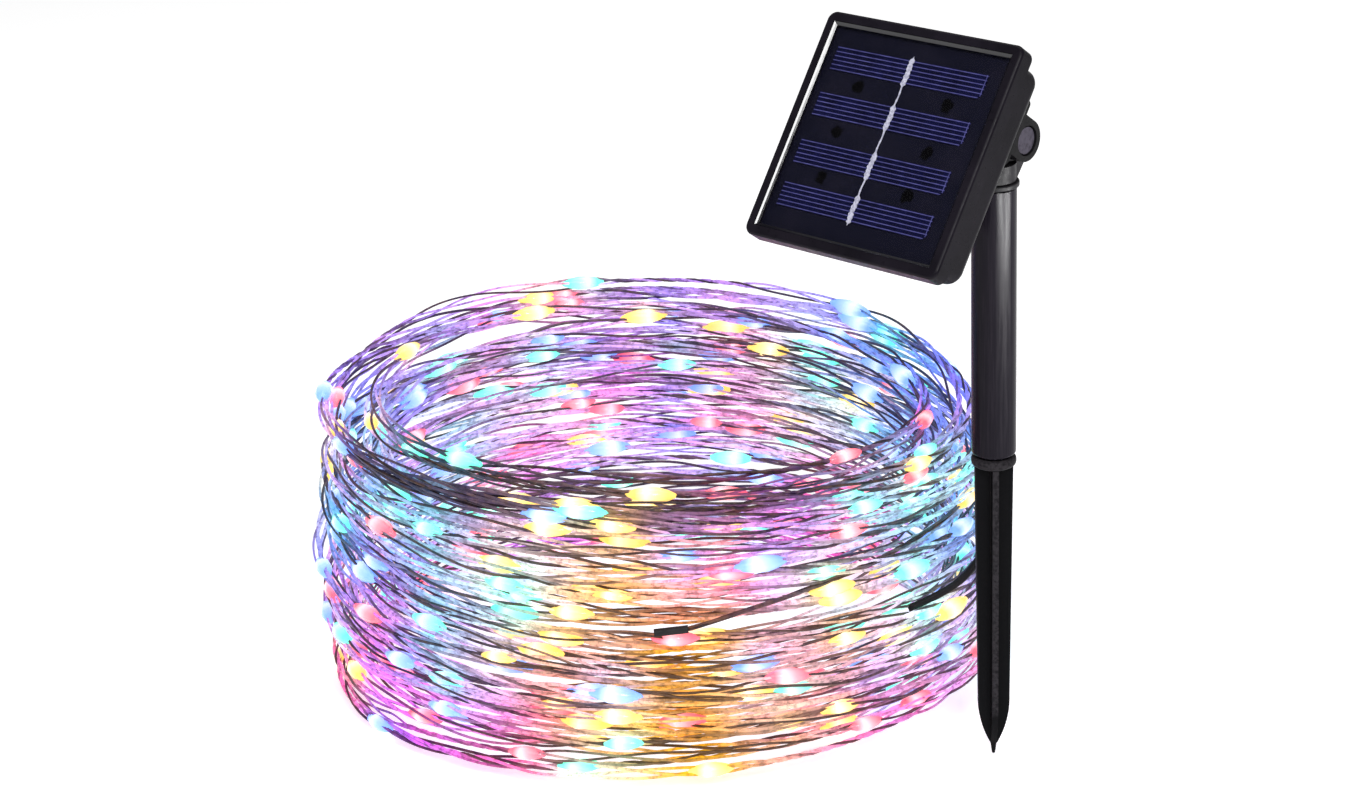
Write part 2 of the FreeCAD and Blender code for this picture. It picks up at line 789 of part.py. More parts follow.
def string_end_cap():
    """Sealed end of the string, lying on the front of the coil."""
    start = Vector(*end_cap_spot)
    return Part.makeCylinder(end_cap_diameter / 2, end_cap_length, start, Vector(-1, 0, -0.08))


def main():
    """Build every piece and write one file for each."""
    os.makedirs("parts", exist_ok=True)
    head_pieces = {
        "front_bezel": front_bezel(),
        "panel_cover": panel_cover(),
        "cell_board": cell_board(),
        "cell_ribbon": cell_ribbon(),
        "case_gasket": case_gasket(),
        "rear_case": rear_case(),
        "case_screws": case_screws(),
        "hinge_bracket": hinge_bracket(),
        "bracket_screws": bracket_screws(),
        "hinge_bolt": hinge_bolt(),
        "hinge_washer": hinge_washer(),
        "hinge_nut": hinge_nut(),
        "battery_cell": battery_cell(),
        "battery_plate": battery_plate(),
        "battery_spring": battery_spring(),
        "circuit_board": circuit_board(),
        "control_chip": control_chip(),
        "power_inductor": power_inductor(),
        "smoothing_capacitor": smoothing_capacitor(),
        "tact_switches": tact_switches(),
        "panel_wires": panel_wires(),
        "lead_gland": lead_gland(),
    }
    for number, row in enumerate(cell_rows, start=1):
        head_pieces[f"cell_strip_{number}"] = cell_strip(row)
    for name, x in button_spots:
        head_pieces[name] = button(x)
    neck_pieces = {"neck_knuckle": neck_knuckle(), "neck_ring": neck_ring()}
    stake_pieces = {
        "stake_tube": stake_tube(),
        "ground_spike": ground_spike(),
        "lead_upper": tube_along(LEAD_UPPER, lead_diameter, "lead_upper"),
        "lead_lower": tube_along(LEAD_LOWER, lead_diameter, "lead_lower"),
        "light_string_coil": light_string_coil(),
        "string_end_cap": string_end_cap(),
    }
    groups = ((head_pieces, HEAD), (neck_pieces, NECK), (stake_pieces, FreeCAD.Placement()))
    for pieces, placement in groups:
        for name, shape in pieces.items():
            placed = shape.copy()
            placed.Placement = placement.multiply(placed.Placement)
            placed.exportStep(f"parts/{name}.step")
            print(name, "valid" if placed.isValid() else "NOT VALID", len(placed.Solids),
                  round(placed.Volume, 1))


main()
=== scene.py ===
"""Solar string lights: cords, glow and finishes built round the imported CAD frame."""

import json
import logging
import math
from dataclasses import dataclass, field
from enum import Enum
from typing import Sequence

import bpy
import numpy as np
from mathutils import Matrix, Vector


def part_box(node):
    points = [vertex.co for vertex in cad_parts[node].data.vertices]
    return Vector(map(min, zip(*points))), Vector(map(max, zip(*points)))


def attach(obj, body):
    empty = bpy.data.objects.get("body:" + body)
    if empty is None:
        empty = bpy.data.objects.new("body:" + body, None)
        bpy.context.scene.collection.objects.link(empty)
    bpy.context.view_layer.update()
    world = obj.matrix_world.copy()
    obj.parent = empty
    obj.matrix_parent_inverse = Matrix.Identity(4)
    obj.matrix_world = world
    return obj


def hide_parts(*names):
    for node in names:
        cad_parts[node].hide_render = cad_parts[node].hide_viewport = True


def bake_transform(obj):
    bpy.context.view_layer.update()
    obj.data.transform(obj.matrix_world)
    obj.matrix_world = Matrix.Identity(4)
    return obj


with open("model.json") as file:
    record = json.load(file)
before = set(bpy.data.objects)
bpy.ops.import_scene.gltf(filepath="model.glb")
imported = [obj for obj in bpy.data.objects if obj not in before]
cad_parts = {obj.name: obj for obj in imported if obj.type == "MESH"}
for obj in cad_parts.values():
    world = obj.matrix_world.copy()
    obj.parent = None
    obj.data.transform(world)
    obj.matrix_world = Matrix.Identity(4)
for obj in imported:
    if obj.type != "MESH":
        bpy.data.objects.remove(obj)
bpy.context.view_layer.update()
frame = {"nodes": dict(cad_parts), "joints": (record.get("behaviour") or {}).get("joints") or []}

LOG = logging.getLogger("solar_string_lights")
MM = 0.001
Colour = tuple[float, float, float]


# ---------------------------------------------------------------- shader building

class Shader:
    """A material under construction: makes nodes, links them and fills in sockets."""

    def __init__(self, name: str) -> None:
        """Start an empty material.

        Args:
            name: Name of the material.
        """
        self.material = bpy.data.materials.new(name)
        self.material.use_nodes = True
        self.tree = self.material.node_tree
        self.surface = self.tree.nodes["Principled BSDF"]
        self.output = self.tree.nodes["Material Output"]

    def node(self, kind: str, **settings: object) -> bpy.types.Node:
        """Add a node; settings are its properties.

        Args:
            kind: Node type without the ShaderNode prefix.
            **settings: Property values of the node.

        Returns:
            The new node.
        """
        made = self.tree.nodes.new("ShaderNode" + kind)
        for key, value in settings.items():
            setattr(made, key, value)
        return made

    def link(self, source: bpy.types.NodeSocket, target: bpy.types.NodeSocket) -> None:
        """Join an output socket to an input socket."""
        self.tree.links.new(source, target)

    def fill(self, socket: bpy.types.NodeSocket, value: object) -> None:
        """Link a socket if the value is a socket, and set it otherwise.

        Args:
            socket: Input socket to fill.
            value: Output socket, number or colour.
        """
        if isinstance(value, bpy.types.NodeSocket):
            self.link(value, socket)
        else:
            socket.default_value = value

    def set(self, **values: object) -> None:
        """Fill sockets of the surface shader; underscores stand for spaces.

        Args:
            **values: Socket name and its value, a socket, number or colour.
        """
        for key, value in values.items():
            name = key.replace("_", " ").title().replace("Ior", "IOR")
            if isinstance(value, tuple) and len(value) == 3:
                value = (*value, 1.0)
            self.fill(self.surface.inputs[name], value)

    def object_coordinates(self) -> bpy.types.NodeSocket:
        """Object coordinates of the surface."""
        return self.node("TexCoord").outputs["Object"]

    def local(self, origin: Vector, axes: Matrix) -> bpy.types.NodeSocket:
        """Object coordinates seen from a local frame.

        Args:
            origin: Origin of the local frame.
            axes: Rotation from local to object directions.

        Returns:
            Socket with the local coordinates.
        """
        mapping = self.node("Mapping", vector_type="TEXTURE")
        self.link(self.object_coordinates(), mapping.inputs["Vector"])
        mapping.inputs["Location"].default_value = origin
        mapping.inputs["Rotation"].default_value = axes.to_euler("XYZ")
        return mapping.outputs["Vector"]

    def noise(self, vector: bpy.types.NodeSocket, scale: float, detail: float = 3.0,
              roughness: float = 0.5) -> bpy.types.NodeSocket:
        """Fractal noise over a surface.

        Args:
            vector: Coordinates in metres.
            scale: Features per metre.
            detail: Number of finer octaves.
            roughness: Weight of the finer octaves.

        Returns:
            Socket with the noise, from 0 to 1.
        """
        made = self.node("TexNoise")
        self.link(vector, made.inputs["Vector"])
        made.inputs["Scale"].default_value = scale
        made.inputs["Detail"].default_value = detail
        made.inputs["Roughness"].default_value = roughness
        return made.outputs["Fac"]

    def math(self, operation: str, *values: object) -> bpy.types.NodeSocket:
        """Arithmetic on numbers or sockets.

        Args:
            operation: Name of the operation.
            *values: Its operands, sockets or numbers.

        Returns:
            Socket with the result.
        """
        made = self.node("Math", operation=operation)
        for socket, value in zip(made.inputs, values):
            self.fill(socket, value)
        return made.outputs[0]

    def ramp(self, value: object, low: float, high: float, start: float = 0.0,
             end: float = 1.0) -> bpy.types.NodeSocket:
        """Map a range of a value smoothly to another.

        Args:
            value: Socket or number to map.
            low: Value that gives start.
            high: Value that gives end.
            start: Result at low.
            end: Result at high.

        Returns:
            Socket with the mapped value.
        """
        made = self.node("MapRange", interpolation_type="SMOOTHSTEP")
        self.fill(made.inputs["Value"], value)
        limits = (("From Min", low), ("From Max", high), ("To Min", start), ("To Max", end))
        for name, number in limits:
            made.inputs[name].default_value = number
        return made.outputs["Result"]

    def mix(self, factor: object, first: object, second: object,
            blend: str = "MIX") -> bpy.types.NodeSocket:
        """Mix two colours.

        Args:
            factor: Share of the second colour, a socket or number.
            first: First colour or socket.
            second: Second colour or socket.
            blend: Way of mixing.

        Returns:
            Socket with the mixed colour.
        """
        made = self.node("Mix", data_type="RGBA", blend_type=blend)
        self.fill(made.inputs[0], factor)
        for socket, value in ((made.inputs[6], first), (made.inputs[7], second)):
            if isinstance(value, tuple) and len(value) == 3:
                value = (*value, 1.0)
            self.fill(socket, value)
        return made.outputs[2]

    def bump(self, height: bpy.types.NodeSocket, strength: float, distance: float) -> None:
        """Relief on the surface from a height.

        Args:
            height: Socket with the height.
            strength: How strongly the relief shows.
            distance: Height in metres of a full step.
        """
        made = self.node("Bump")
        made.inputs["Strength"].default_value = strength
        made.inputs["Distance"].default_value = distance
        self.link(height, made.inputs["Height"])
        self.link(made.outputs["Normal"], self.surface.inputs["Normal"])


class Finish:
    """Anything that can make its own material."""

    def make(self, name: str) -> bpy.types.Material:
        """Build the material.

        Args:
            name: Name of the material.

        Returns:
            The finished material.
        """
        shader = Shader(name)
        self.dress(shader)
        return shader.material

    def dress(self, shader: Shader) -> None:
        """Lay the finish on a material."""
        raise NotImplementedError


@dataclass(frozen=True)
class MouldedPlastic(Finish):
    """Injection-moulded plastic with a fine grain, flow clouds and patches of uneven wear in its roughness.
    """

    colour: Colour = (0.018, 0.016, 0.021)
    cloud: Colour = (0.034, 0.029, 0.040)
    roughness: float = 0.32
    grain: float = 2600.0
    grain_depth: float = 0.00004
    specular: float = 0.11

    def dress(self, shader: Shader) -> None:
        """Lay the finish on a material.

        Args:
            shader: The material under construction.
        """
        place = shader.object_coordinates()
        cloud = shader.noise(place, 45.0, 4.0, 0.6)
        wear = shader.noise(place, 420.0, 5.0, 0.7)
        shader.set(base_color=shader.mix(shader.ramp(cloud, 0.35, 0.7), self.colour, self.cloud),
                   roughness=shader.ramp(wear, 0.3, 0.75, self.roughness * 0.8, self.roughness * 1.35))
        shader.surface.inputs["Specular IOR Level"].default_value = self.specular
        grain = shader.noise(place, self.grain, 2.0, 0.55)
        shader.bump(grain, 0.35, self.grain_depth)


@dataclass(frozen=True)
class Metal(Finish):
    """Drawn or plated metal with fine scratches."""

    colour: Colour = (0.55, 0.55, 0.57)
    roughness: float = 0.3
    tarnish: Colour = (0.35, 0.34, 0.34)

    def dress(self, shader: Shader) -> None:
        """Lay the finish on a material.

        Args:
            shader: The material under construction.
        """
        place = shader.object_coordinates()
        spots = shader.noise(place, 700.0, 4.0, 0.6)
        shader.set(base_color=shader.mix(shader.ramp(spots, 0.45, 0.75), self.colour, self.tarnish),
                   roughness=shader.ramp(spots, 0.3, 0.7, self.roughness * 0.7, self.roughness * 1.4))
        shader.surface.inputs["Metallic"].default_value = 1.0
        shader.bump(shader.noise(place, 3000.0, 2.0, 0.5), 0.2, 0.00003)


@dataclass(frozen=True)
class TubePlastic(Finish):
    """Extruded black tube with faint draw lines along it."""

    colour: Colour = (0.006, 0.005, 0.008)
    line: Colour = (0.011, 0.009, 0.013)
    roughness: float = 0.18

    def dress(self, shader: Shader) -> None:
        """Lay the finish on a material.

        Args:
            shader: The material under construction.
        """
        stretched = shader.node("Mapping")
        shader.link(shader.object_coordinates(), stretched.inputs["Vector"])
        stretched.inputs["Scale"].default_value = (1.0, 1.0, 0.03)
        lines = shader.noise(stretched.outputs["Vector"], 1500.0, 3.0, 0.6)
        clouds = shader.noise(shader.object_coordinates(), 60.0, 4.0, 0.6)
        tone = shader.mix(shader.ramp(lines, 0.4, 0.75), self.colour, self.line)
        shader.set(base_color=shader.mix(shader.ramp(clouds, 0.5, 0.9, 0.0, 0.5), tone, self.line),
                   roughness=shader.ramp(lines, 0.3, 0.7, self.roughness * 0.85, self.roughness * 1.3))
        shader.surface.inputs["Specular IOR Level"].default_value = 0.07
        shader.bump(lines, 0.12, 0.00002)


@dataclass(frozen=True)
class SpikePlastic(Finish):
    """Matt moulded spike whose fin edges are rubbed lighter."""

    colour: Colour = (0.004, 0.004, 0.005)
    rubbed: Colour = (0.030, 0.027, 0.031)
    shoulder_height: float = 21.7 * MM
    top_height: float = 104.5 * MM
    shoulder_reach: float = 5.2 * MM
    top_reach: float = 6.2 * MM

    def dress(self, shader: Shader) -> None:
        """Lay the finish on a material.

        Args:
            shader: The material under construction.
        """
        place = shader.object_coordinates()
        parts = shader.node("SeparateXYZ")
        shader.link(place, parts.inputs[0])
        flat = shader.node("CombineXYZ")
        shader.link(parts.outputs["X"], flat.inputs["X"])
        shader.link(parts.outputs["Y"], flat.inputs["Y"])
        reach = shader.node("VectorMath", operation="LENGTH")
        shader.link(flat.outputs[0], reach.inputs[0])
        rise = shader.node("MapRange")
        shader.link(parts.outputs["Z"], rise.inputs["Value"])
        for key, value in (("From Min", self.shoulder_height), ("From Max", self.top_height),
                           ("To Min", self.shoulder_reach), ("To Max", self.top_reach)):
            rise.inputs[key].default_value = value
        share = shader.math("DIVIDE", reach.outputs["Value"], rise.outputs["Result"])
        chips = shader.noise(place, 900.0, 4.0, 0.65)
        worn = shader.ramp(chips, 0.35, 0.6, 0.25, 1.0)
        edge = shader.math("MULTIPLY", shader.ramp(share, 0.93, 1.0), worn)
        shader.set(base_color=shader.mix(edge, self.colour, self.rubbed),
                   roughness=shader.ramp(chips, 0.3, 0.7, 0.38, 0.58))
        shader.surface.inputs["Specular IOR Level"].default_value = 0.05
        shader.bump(shader.noise(place, 2200.0, 3.0, 0.6), 0.35, 0.00005)


@dataclass(frozen=True)
class SiliconCell(Finish):
    """Dark blue cell strip with fine printed contact lines along it and one across its end."""

    head: "HeadFrame"
    node: str
    lines: int = 6
    border: float = 0.35 * MM
    half_line: float = 0.12 * MM
    navy: Colour = (0.0016, 0.0018, 0.016)
    navy_light: Colour = (0.0035, 0.0042, 0.032)
    print_colour: Colour = (0.105, 0.105, 0.290)

    def dress(self, shader: Shader) -> None:
        """Lay the finish on a material.

        Args:
            shader: The material under construction.
        """
        local = shader.local(self.head.origin, self.head.axes)
        parts = shader.node("SeparateXYZ")
        shader.link(local, parts.inputs[0])
        (_, right), (low, high), _ = self.head.spans(self.node)
        pitch = (high - low - 2 * self.border) / (self.lines - 1)
        count = shader.math("DIVIDE", shader.math("SUBTRACT", parts.outputs["Y"], low + self.border), pitch)
        nearest = shader.math("SUBTRACT", count, shader.math("ROUND", count))
        off = shader.math("MULTIPLY", shader.math("ABSOLUTE", nearest), pitch)
        along = shader.ramp(off, self.half_line * 0.55, self.half_line * 1.7, 1.0, 0.0)
        end_off = shader.math("ABSOLUTE", shader.math("SUBTRACT", parts.outputs["X"], right - self.border))
        across = shader.ramp(end_off, self.half_line * 0.6, self.half_line * 1.8, 0.9, 0.0)
        drawn = shader.math("MAXIMUM", along, across)
        shine = shader.noise(local, 340.0, 3.0, 0.6)
        printed = shader.math("MULTIPLY", drawn, shader.ramp(shine, 0.3, 0.7, 0.6, 1.0))
        grains = shader.ramp(shader.noise(local, 150.0, 4.0, 0.7), 0.35, 0.7)
        crystal = shader.mix(grains, self.navy, self.navy_light)
        shader.set(base_color=shader.mix(printed, crystal, self.print_colour),
                   roughness=shader.ramp(shine, 0.3, 0.7, 0.28, 0.42))
        shader.surface.inputs["Specular IOR Level"].default_value = 0.1
        shader.bump(printed, 0.3, 0.00003)


@dataclass(frozen=True)
class CellBacking(Finish):
    """Near-black backing sheet with darker dabs of potting between the strips."""

    head: "HeadFrame"
    sheet: Colour = (0.0058, 0.0060, 0.0130)
    warm: Colour = (0.0088, 0.0082, 0.0155)
    dab: Colour = (0.0006, 0.0006, 0.0009)
    dab_reach: float = 2.3 * MM
    dab_spots: tuple[tuple[float, float], ...] = (
        (-17.8, 16.0), (16.8, 15.7), (-19.4, 0.4), (16.3, 0.1), (-18.6, -14.9), (15.5, -14.2),
    )

    def dress(self, shader: Shader) -> None:
        """Lay the finish on a material.

        Args:
            shader: The material under construction.
        """
        local = shader.local(self.head.origin, self.head.axes)
        level = self.head.spans("cell_board")[2][1]
        ragged = shader.node("TexNoise", noise_dimensions="3D")
        shader.link(local, ragged.inputs["Vector"])
        ragged.inputs["Scale"].default_value = 330.0
        ragged.inputs["Detail"].default_value = 3.0
        shift = shader.node("VectorMath", operation="MULTIPLY_ADD")
        shader.link(ragged.outputs["Color"], shift.inputs[0])
        shift.inputs[1].default_value = (0.0034, 0.0034, 0.0)
        shader.link(local, shift.inputs[2])
        nearest: object = 1.0
        for across, up in self.dab_spots:
            spot = shader.node("VectorMath", operation="DISTANCE")
            shader.link(shift.outputs[0], spot.inputs[0])
            spot.inputs[1].default_value = (across * MM + 0.0017, up * MM + 0.0017, level)
            nearest = shader.math("MINIMUM", spot.outputs["Value"], nearest)
        dabs = shader.ramp(nearest, self.dab_reach * 0.75, self.dab_reach * 1.1, 1.0, 0.0)
        clouds = shader.noise(local, 55.0, 4.0, 0.6)
        sheet = shader.mix(shader.ramp(clouds, 0.4, 0.7), self.sheet, self.warm)
        shader.set(base_color=shader.mix(dabs, sheet, self.dab),
                   roughness=shader.ramp(clouds, 0.3, 0.7, 0.35, 0.5))
        shader.surface.inputs["Specular IOR Level"].default_value = 0.05


@dataclass(frozen=True)
class ClearSheet(Finish):
    """Clear resin face: see-through, with a smooth gloss and a few wiping marks."""

    tint: Colour = (0.97, 0.97, 1.0)
    gloss: float = 0.05

    def dress(self, shader: Shader) -> None:
        """Lay the finish on a material.

        Args:
            shader: The material under construction.
        """
        shader.tree.nodes.remove(shader.surface)
        clear = shader.node("BsdfTransparent")
        clear.inputs["Color"].default_value = (*self.tint, 1.0)
        shine = shader.node("BsdfAnisotropic")
        marks = shader.noise(shader.object_coordinates(), 120.0, 5.0, 0.7)
        shader.link(shader.ramp(marks, 0.4, 0.8, self.gloss, self.gloss * 3.0), shine.inputs["Roughness"])
        fresnel = shader.node("Fresnel")
        fresnel.inputs["IOR"].default_value = 1.16
        inside = shader.node("NewGeometry").outputs["Backfacing"]
        outside = shader.math("SUBTRACT", 1.0, inside)
        blend = shader.node("MixShader")
        shader.link(shader.math("MULTIPLY", fresnel.outputs[0], outside), blend.inputs[0])
        shader.link(clear.outputs[0], blend.inputs[1])
        shader.link(shine.outputs[0], blend.inputs[2])
        shader.link(blend.outputs[0], shader.output.inputs["Surface"])


@dataclass(frozen=True)
class PrintedBoard(Finish):
    """Green circuit board with paler copper tracks under the lacquer."""

    head: "HeadFrame"
    lacquer: Colour = (0.010, 0.085, 0.035)
    track: Colour = (0.030, 0.190, 0.075)

    def dress(self, shader: Shader) -> None:
        """Lay the finish on a material.

        Args:
            shader: The material under construction.
        """
        local = shader.local(self.head.origin, self.head.axes)
        bricks = shader.node("TexBrick")
        shader.link(local, bricks.inputs["Vector"])
        bricks.inputs["Scale"].default_value = 190.0
        bricks.inputs["Mortar Size"].default_value = 0.09
        bricks.inputs["Mortar Smooth"].default_value = 0.3
        haze = shader.noise(local, 300.0, 3.0, 0.6)
        shader.set(base_color=shader.mix(bricks.outputs["Fac"], self.lacquer, self.track),
                   roughness=shader.ramp(haze, 0.3, 0.7, 0.22, 0.4))
        shader.bump(bricks.outputs["Fac"], 0.3, 0.00005)


class Tone(Enum):
    """Colours that the wires take from the lights massed round them."""

    VIOLET = (0.36, 0.15, 0.90)
    GOLDEN = (0.44, 0.22, 0.02)
    CYAN = (0.14, 0.55, 0.95)
    ROSE = (0.95, 0.14, 0.50)
    LILAC = (0.54, 0.33, 1.00)


class Hue(Enum):
    """Light colours of the string, as the glow they give."""

    RED = (1.0, 0.10, 0.16)
    GOLD = (1.0, 0.62, 0.10)
    GREEN = (0.12, 0.92, 0.62)
    BLUE = (0.16, 0.35, 1.0)


# ---------------------------------------------------------------- head frame

class HeadFrame:
    """Place and directions of the solar head at rest, read from the joints."""

    def __init__(self) -> None:
        """Read the tilt axis and the press direction from the frame."""
        joints = {joint["name"]: joint for joint in frame["joints"]}
        self.across = -Vector(joints["head_tilt"]["axis"])
        self.out = Vector(joints["power_press"]["axis"])
        self.up = self.out.cross(self.across)
        self.axes = Matrix((self.across, self.up, self.out)).transposed()
        cover = self._spans("panel_cover", Vector((0, 0, 0)))
        middle = [(low + high) / 2 for low, high in cover]
        front = self._spans("front_bezel", Vector((0, 0, 0)))[2][1]
        self.origin = self.across * middle[0] + self.up * middle[1] + self.out * front

    def _spans(self, node: str, origin: Vector) -> list[tuple[float, float]]:
        """Extent of a node along each head direction.

        Args:
            node: Name of the CAD node.
            origin: Point that the coordinates start from.

        Returns:
            Lowest and highest coordinate along across, up and out.
        """
        points = [vertex.co - origin for vertex in frame["nodes"][node].data.vertices]
        spans = []
        for axis in (self.across, self.up, self.out):
            reach = [point.dot(axis) for point in points]
            spans.append((min(reach), max(reach)))
        return spans

    def spans(self, node: str) -> list[tuple[float, float]]:
        """Local extent of a node along across, up and out, from the face centre."""
        return self._spans(node, self.origin)

    def placement(self) -> Matrix:
        """Transform from local coordinates to the part's frame."""
        return Matrix.Translation(self.origin) @ self.axes.to_4x4()


# ---------------------------------------------------------------- finishes of the carried-over pieces

@dataclass
class CadFinishes:
    """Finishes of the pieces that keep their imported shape."""

    head: HeadFrame

    def table(self) -> dict[str, Finish]:
        """Choose a finish for each material slot.

        Returns:
            Finish by the slot's name in the record.
        """
        return {
            "black_case": MouldedPlastic(colour=(0.006, 0.005, 0.008), cloud=(0.011, 0.009, 0.014),
                                         specular=0.08),
            "black_hinge": MouldedPlastic(colour=(0.006, 0.006, 0.007), cloud=(0.012, 0.011, 0.013),
                                          roughness=0.4),
            "black_tube": TubePlastic(),
            "black_spike": SpikePlastic(),
            "black_rubber": MouldedPlastic(colour=(0.012, 0.012, 0.013), cloud=(0.024, 0.023, 0.025),
                                           roughness=0.6, specular=0.2, grain=3400.0, grain_depth=0.00006),
            "button_rubber": MouldedPlastic(colour=(0.035, 0.035, 0.038), cloud=(0.055, 0.054, 0.058),
                                            roughness=0.55, specular=0.25, grain=3400.0, grain_depth=0.00006),
            "clear_cover": ClearSheet(),
            "cell_backing": CellBacking(head=self.head),
            "tab_ribbon": Metal(colour=(0.80, 0.80, 0.86), tarnish=(0.52, 0.52, 0.60), roughness=0.32),
            "steel_screw": Metal(colour=(0.45, 0.45, 0.47)),
            "grey_bolt": Metal(colour=(0.10, 0.09, 0.12), tarnish=(0.08, 0.07, 0.09), roughness=0.42),
            "battery_wrap": MouldedPlastic(colour=(0.020, 0.150, 0.060), cloud=(0.030, 0.210, 0.085),
                                           roughness=0.25, specular=0.5),
            "nickel_contact": Metal(colour=(0.62, 0.60, 0.55), tarnish=(0.42, 0.40, 0.36), roughness=0.22),
            "circuit_green": PrintedBoard(head=self.head),
            "chip_black": MouldedPlastic(colour=(0.010, 0.010, 0.011), cloud=(0.020, 0.020, 0.021),
                                         roughness=0.5),
            "ferrite": MouldedPlastic(colour=(0.040, 0.040, 0.043), cloud=(0.075, 0.073, 0.075),
                                      roughness=0.7, specular=0.2, grain=5200.0, grain_depth=0.00008),
            "capacitor_can": Metal(colour=(0.62, 0.62, 0.64), tarnish=(0.46, 0.46, 0.48), roughness=0.28),
            "switch_metal": Metal(colour=(0.50, 0.50, 0.51), tarnish=(0.34, 0.34, 0.35), roughness=0.35),
            "wire_red": MouldedPlastic(colour=(0.32, 0.012, 0.012), cloud=(0.42, 0.022, 0.020),
                                       roughness=0.4),
        }

    def build(self) -> None:
        """Give every carried-over piece its finish."""
        table = self.table()
        made: dict[str, bpy.types.Material] = {}
        for name, piece in frame["nodes"].items():
            for slot in piece.material_slots:
                key = slot.material.name.split(".")[0] if slot.material else ""
                finish = table.get(key)
                if key == "silicon_cell":
                    slot.material = SiliconCell(head=self.head, node=name).make(f"silicon_{name}")
                elif finish is not None:
                    if key not in made:
                        made[key] = finish.make(f"finish_{key}")
                    slot.material = made[key]
                LOG.info("%s: %s", name, key)


# ---------------------------------------------------------------- camera, floor and lights

@dataclass
class Studio:
    """Camera, pale floor and soft lights."""

    distance: float = 1.0            # spike tip to camera, along the view
    pitch: float = math.radians(22.0)
    roll: float = math.radians(2.431)
    tip_right: float = 0.10667       # spike tip from the middle of the view
    tip_down: float = 0.11583
    lens: float = 80.18
    sensor: float = 36.0

    def directions(self) -> tuple[Vector, Vector, Vector]:
        """Directions of the camera.

        Returns:
            Right, up and forward unit vectors.
        """
        forward = Vector((0, math.cos(self.pitch), -math.sin(self.pitch)))
        level_up = Vector((0, math.sin(self.pitch), math.cos(self.pitch)))
        level_right = Vector((1, 0, 0))
        right = level_right * math.cos(self.roll) - level_up * math.sin(self.roll)
        up = level_right * math.sin(self.roll) + level_up * math.cos(self.roll)
        return right, up, forward

    def camera(self) -> None:
        """Place the camera and make it the scene's."""
        right, up, forward = self.directions()
        data = bpy.data.cameras.new("camera")
        data.lens = self.lens
        data.sensor_width = self.sensor
        data.clip_start = 0.01
        holder = bpy.data.objects.new("camera", data)
        bpy.context.scene.collection.objects.link(holder)
        place = -(forward * self.distance + right * self.tip_right - up * self.tip_down)
        turn = Matrix((right, up, -forward)).transposed().to_4x4()
        holder.matrix_world = Matrix.Translation(place) @ turn
        bpy.context.scene.camera = holder

    def floor(self) -> None:
        """Pale floor just under the coil."""
        bpy.ops.mesh.primitive_plane_add(size=8.0, location=(0, 0, -0.0006))
        plane = bpy.context.active_object
        plane.name = "studio_floor"
        shader = Shader("studio_floor")
        cloud = shader.noise(shader.object_coordinates(), 3.0, 3.0, 0.5)
        shader.set(base_color=shader.mix(cloud, (0.90, 0.90, 0.91), (0.94, 0.94, 0.94)), roughness=0.8)
        shader.surface.inputs["Emission Color"].default_value = (1.0, 1.0, 1.0, 1.0)
        shader.surface.inputs["Emission Strength"].default_value = 0.5
        plane.data.materials.append(shader.material)

    def light(self, name: str, place: Vector, aim: Vector, size: tuple[float, float], power: float,
              turn: float = 0.0, only: Sequence[str] = ()) -> None:
        """Add one soft rectangular light.

        Args:
            name: Name of the light.
            place: Position in metres.
            aim: Point that it faces.
            size: Width and height in metres.
            power: Power in watts.
            turn: Angle of the rectangle about its own axis.
            only: CAD nodes that it lights, or none for everything.
        """
        data = bpy.data.lights.new(name, "AREA")
        data.shape = "RECTANGLE"
        data.size, data.size_y = size
        data.energy = power
        holder = bpy.data.objects.new(name, data)
        bpy.context.scene.collection.objects.link(holder)
        facing = (aim - place).to_track_quat("-Z", "Y").to_matrix().to_4x4()
        holder.matrix_world = Matrix.Translation(place) @ facing @ Matrix.Rotation(turn, 4, "Z")
        if only:
            lit = bpy.data.collections.new(f"{name}_receivers")
            for node in only:
                lit.objects.link(frame["nodes"][node])
            holder.light_linking.receiver_collection = lit

    def build(self) -> None:
        """Set up the studio."""
        self.camera()
        self.floor()
        scene = bpy.context.scene
        world = bpy.data.worlds.new("studio")
        world.use_nodes = True
        world.node_tree.nodes["Background"].inputs["Color"].default_value = (1, 1, 1, 1)
        world.node_tree.nodes["Background"].inputs["Strength"].default_value = 0.25
        scene.world = world
        scene.view_settings.view_transform = "Standard"
        middle = Vector((-0.05, 0.03, 0.1))
        head = Vector((-0.02, 0.0, 0.21))
        self.light("key_light", Vector((-0.5, -1.0, 1.5)), middle, (1.0, 1.0), 12.0)
        self.light("rim_light", Vector((0.18, -0.88, 0.84)), head, (0.30, 0.30), 6.0)
        self.light("top_light", Vector((0.1, 0.5, 1.4)), middle, (1.2, 0.6), 6.0)
        strip = Vector((0.36, -0.42, 0.004))
        self.light("floor_strip", strip, strip + Vector((0, 0, 1)), (0.85, 0.06), 26.0,
                   turn=math.radians(-49.0), only=("stake_tube", "neck_knuckle"))


# ---------------------------------------------------------------- tubes along a route

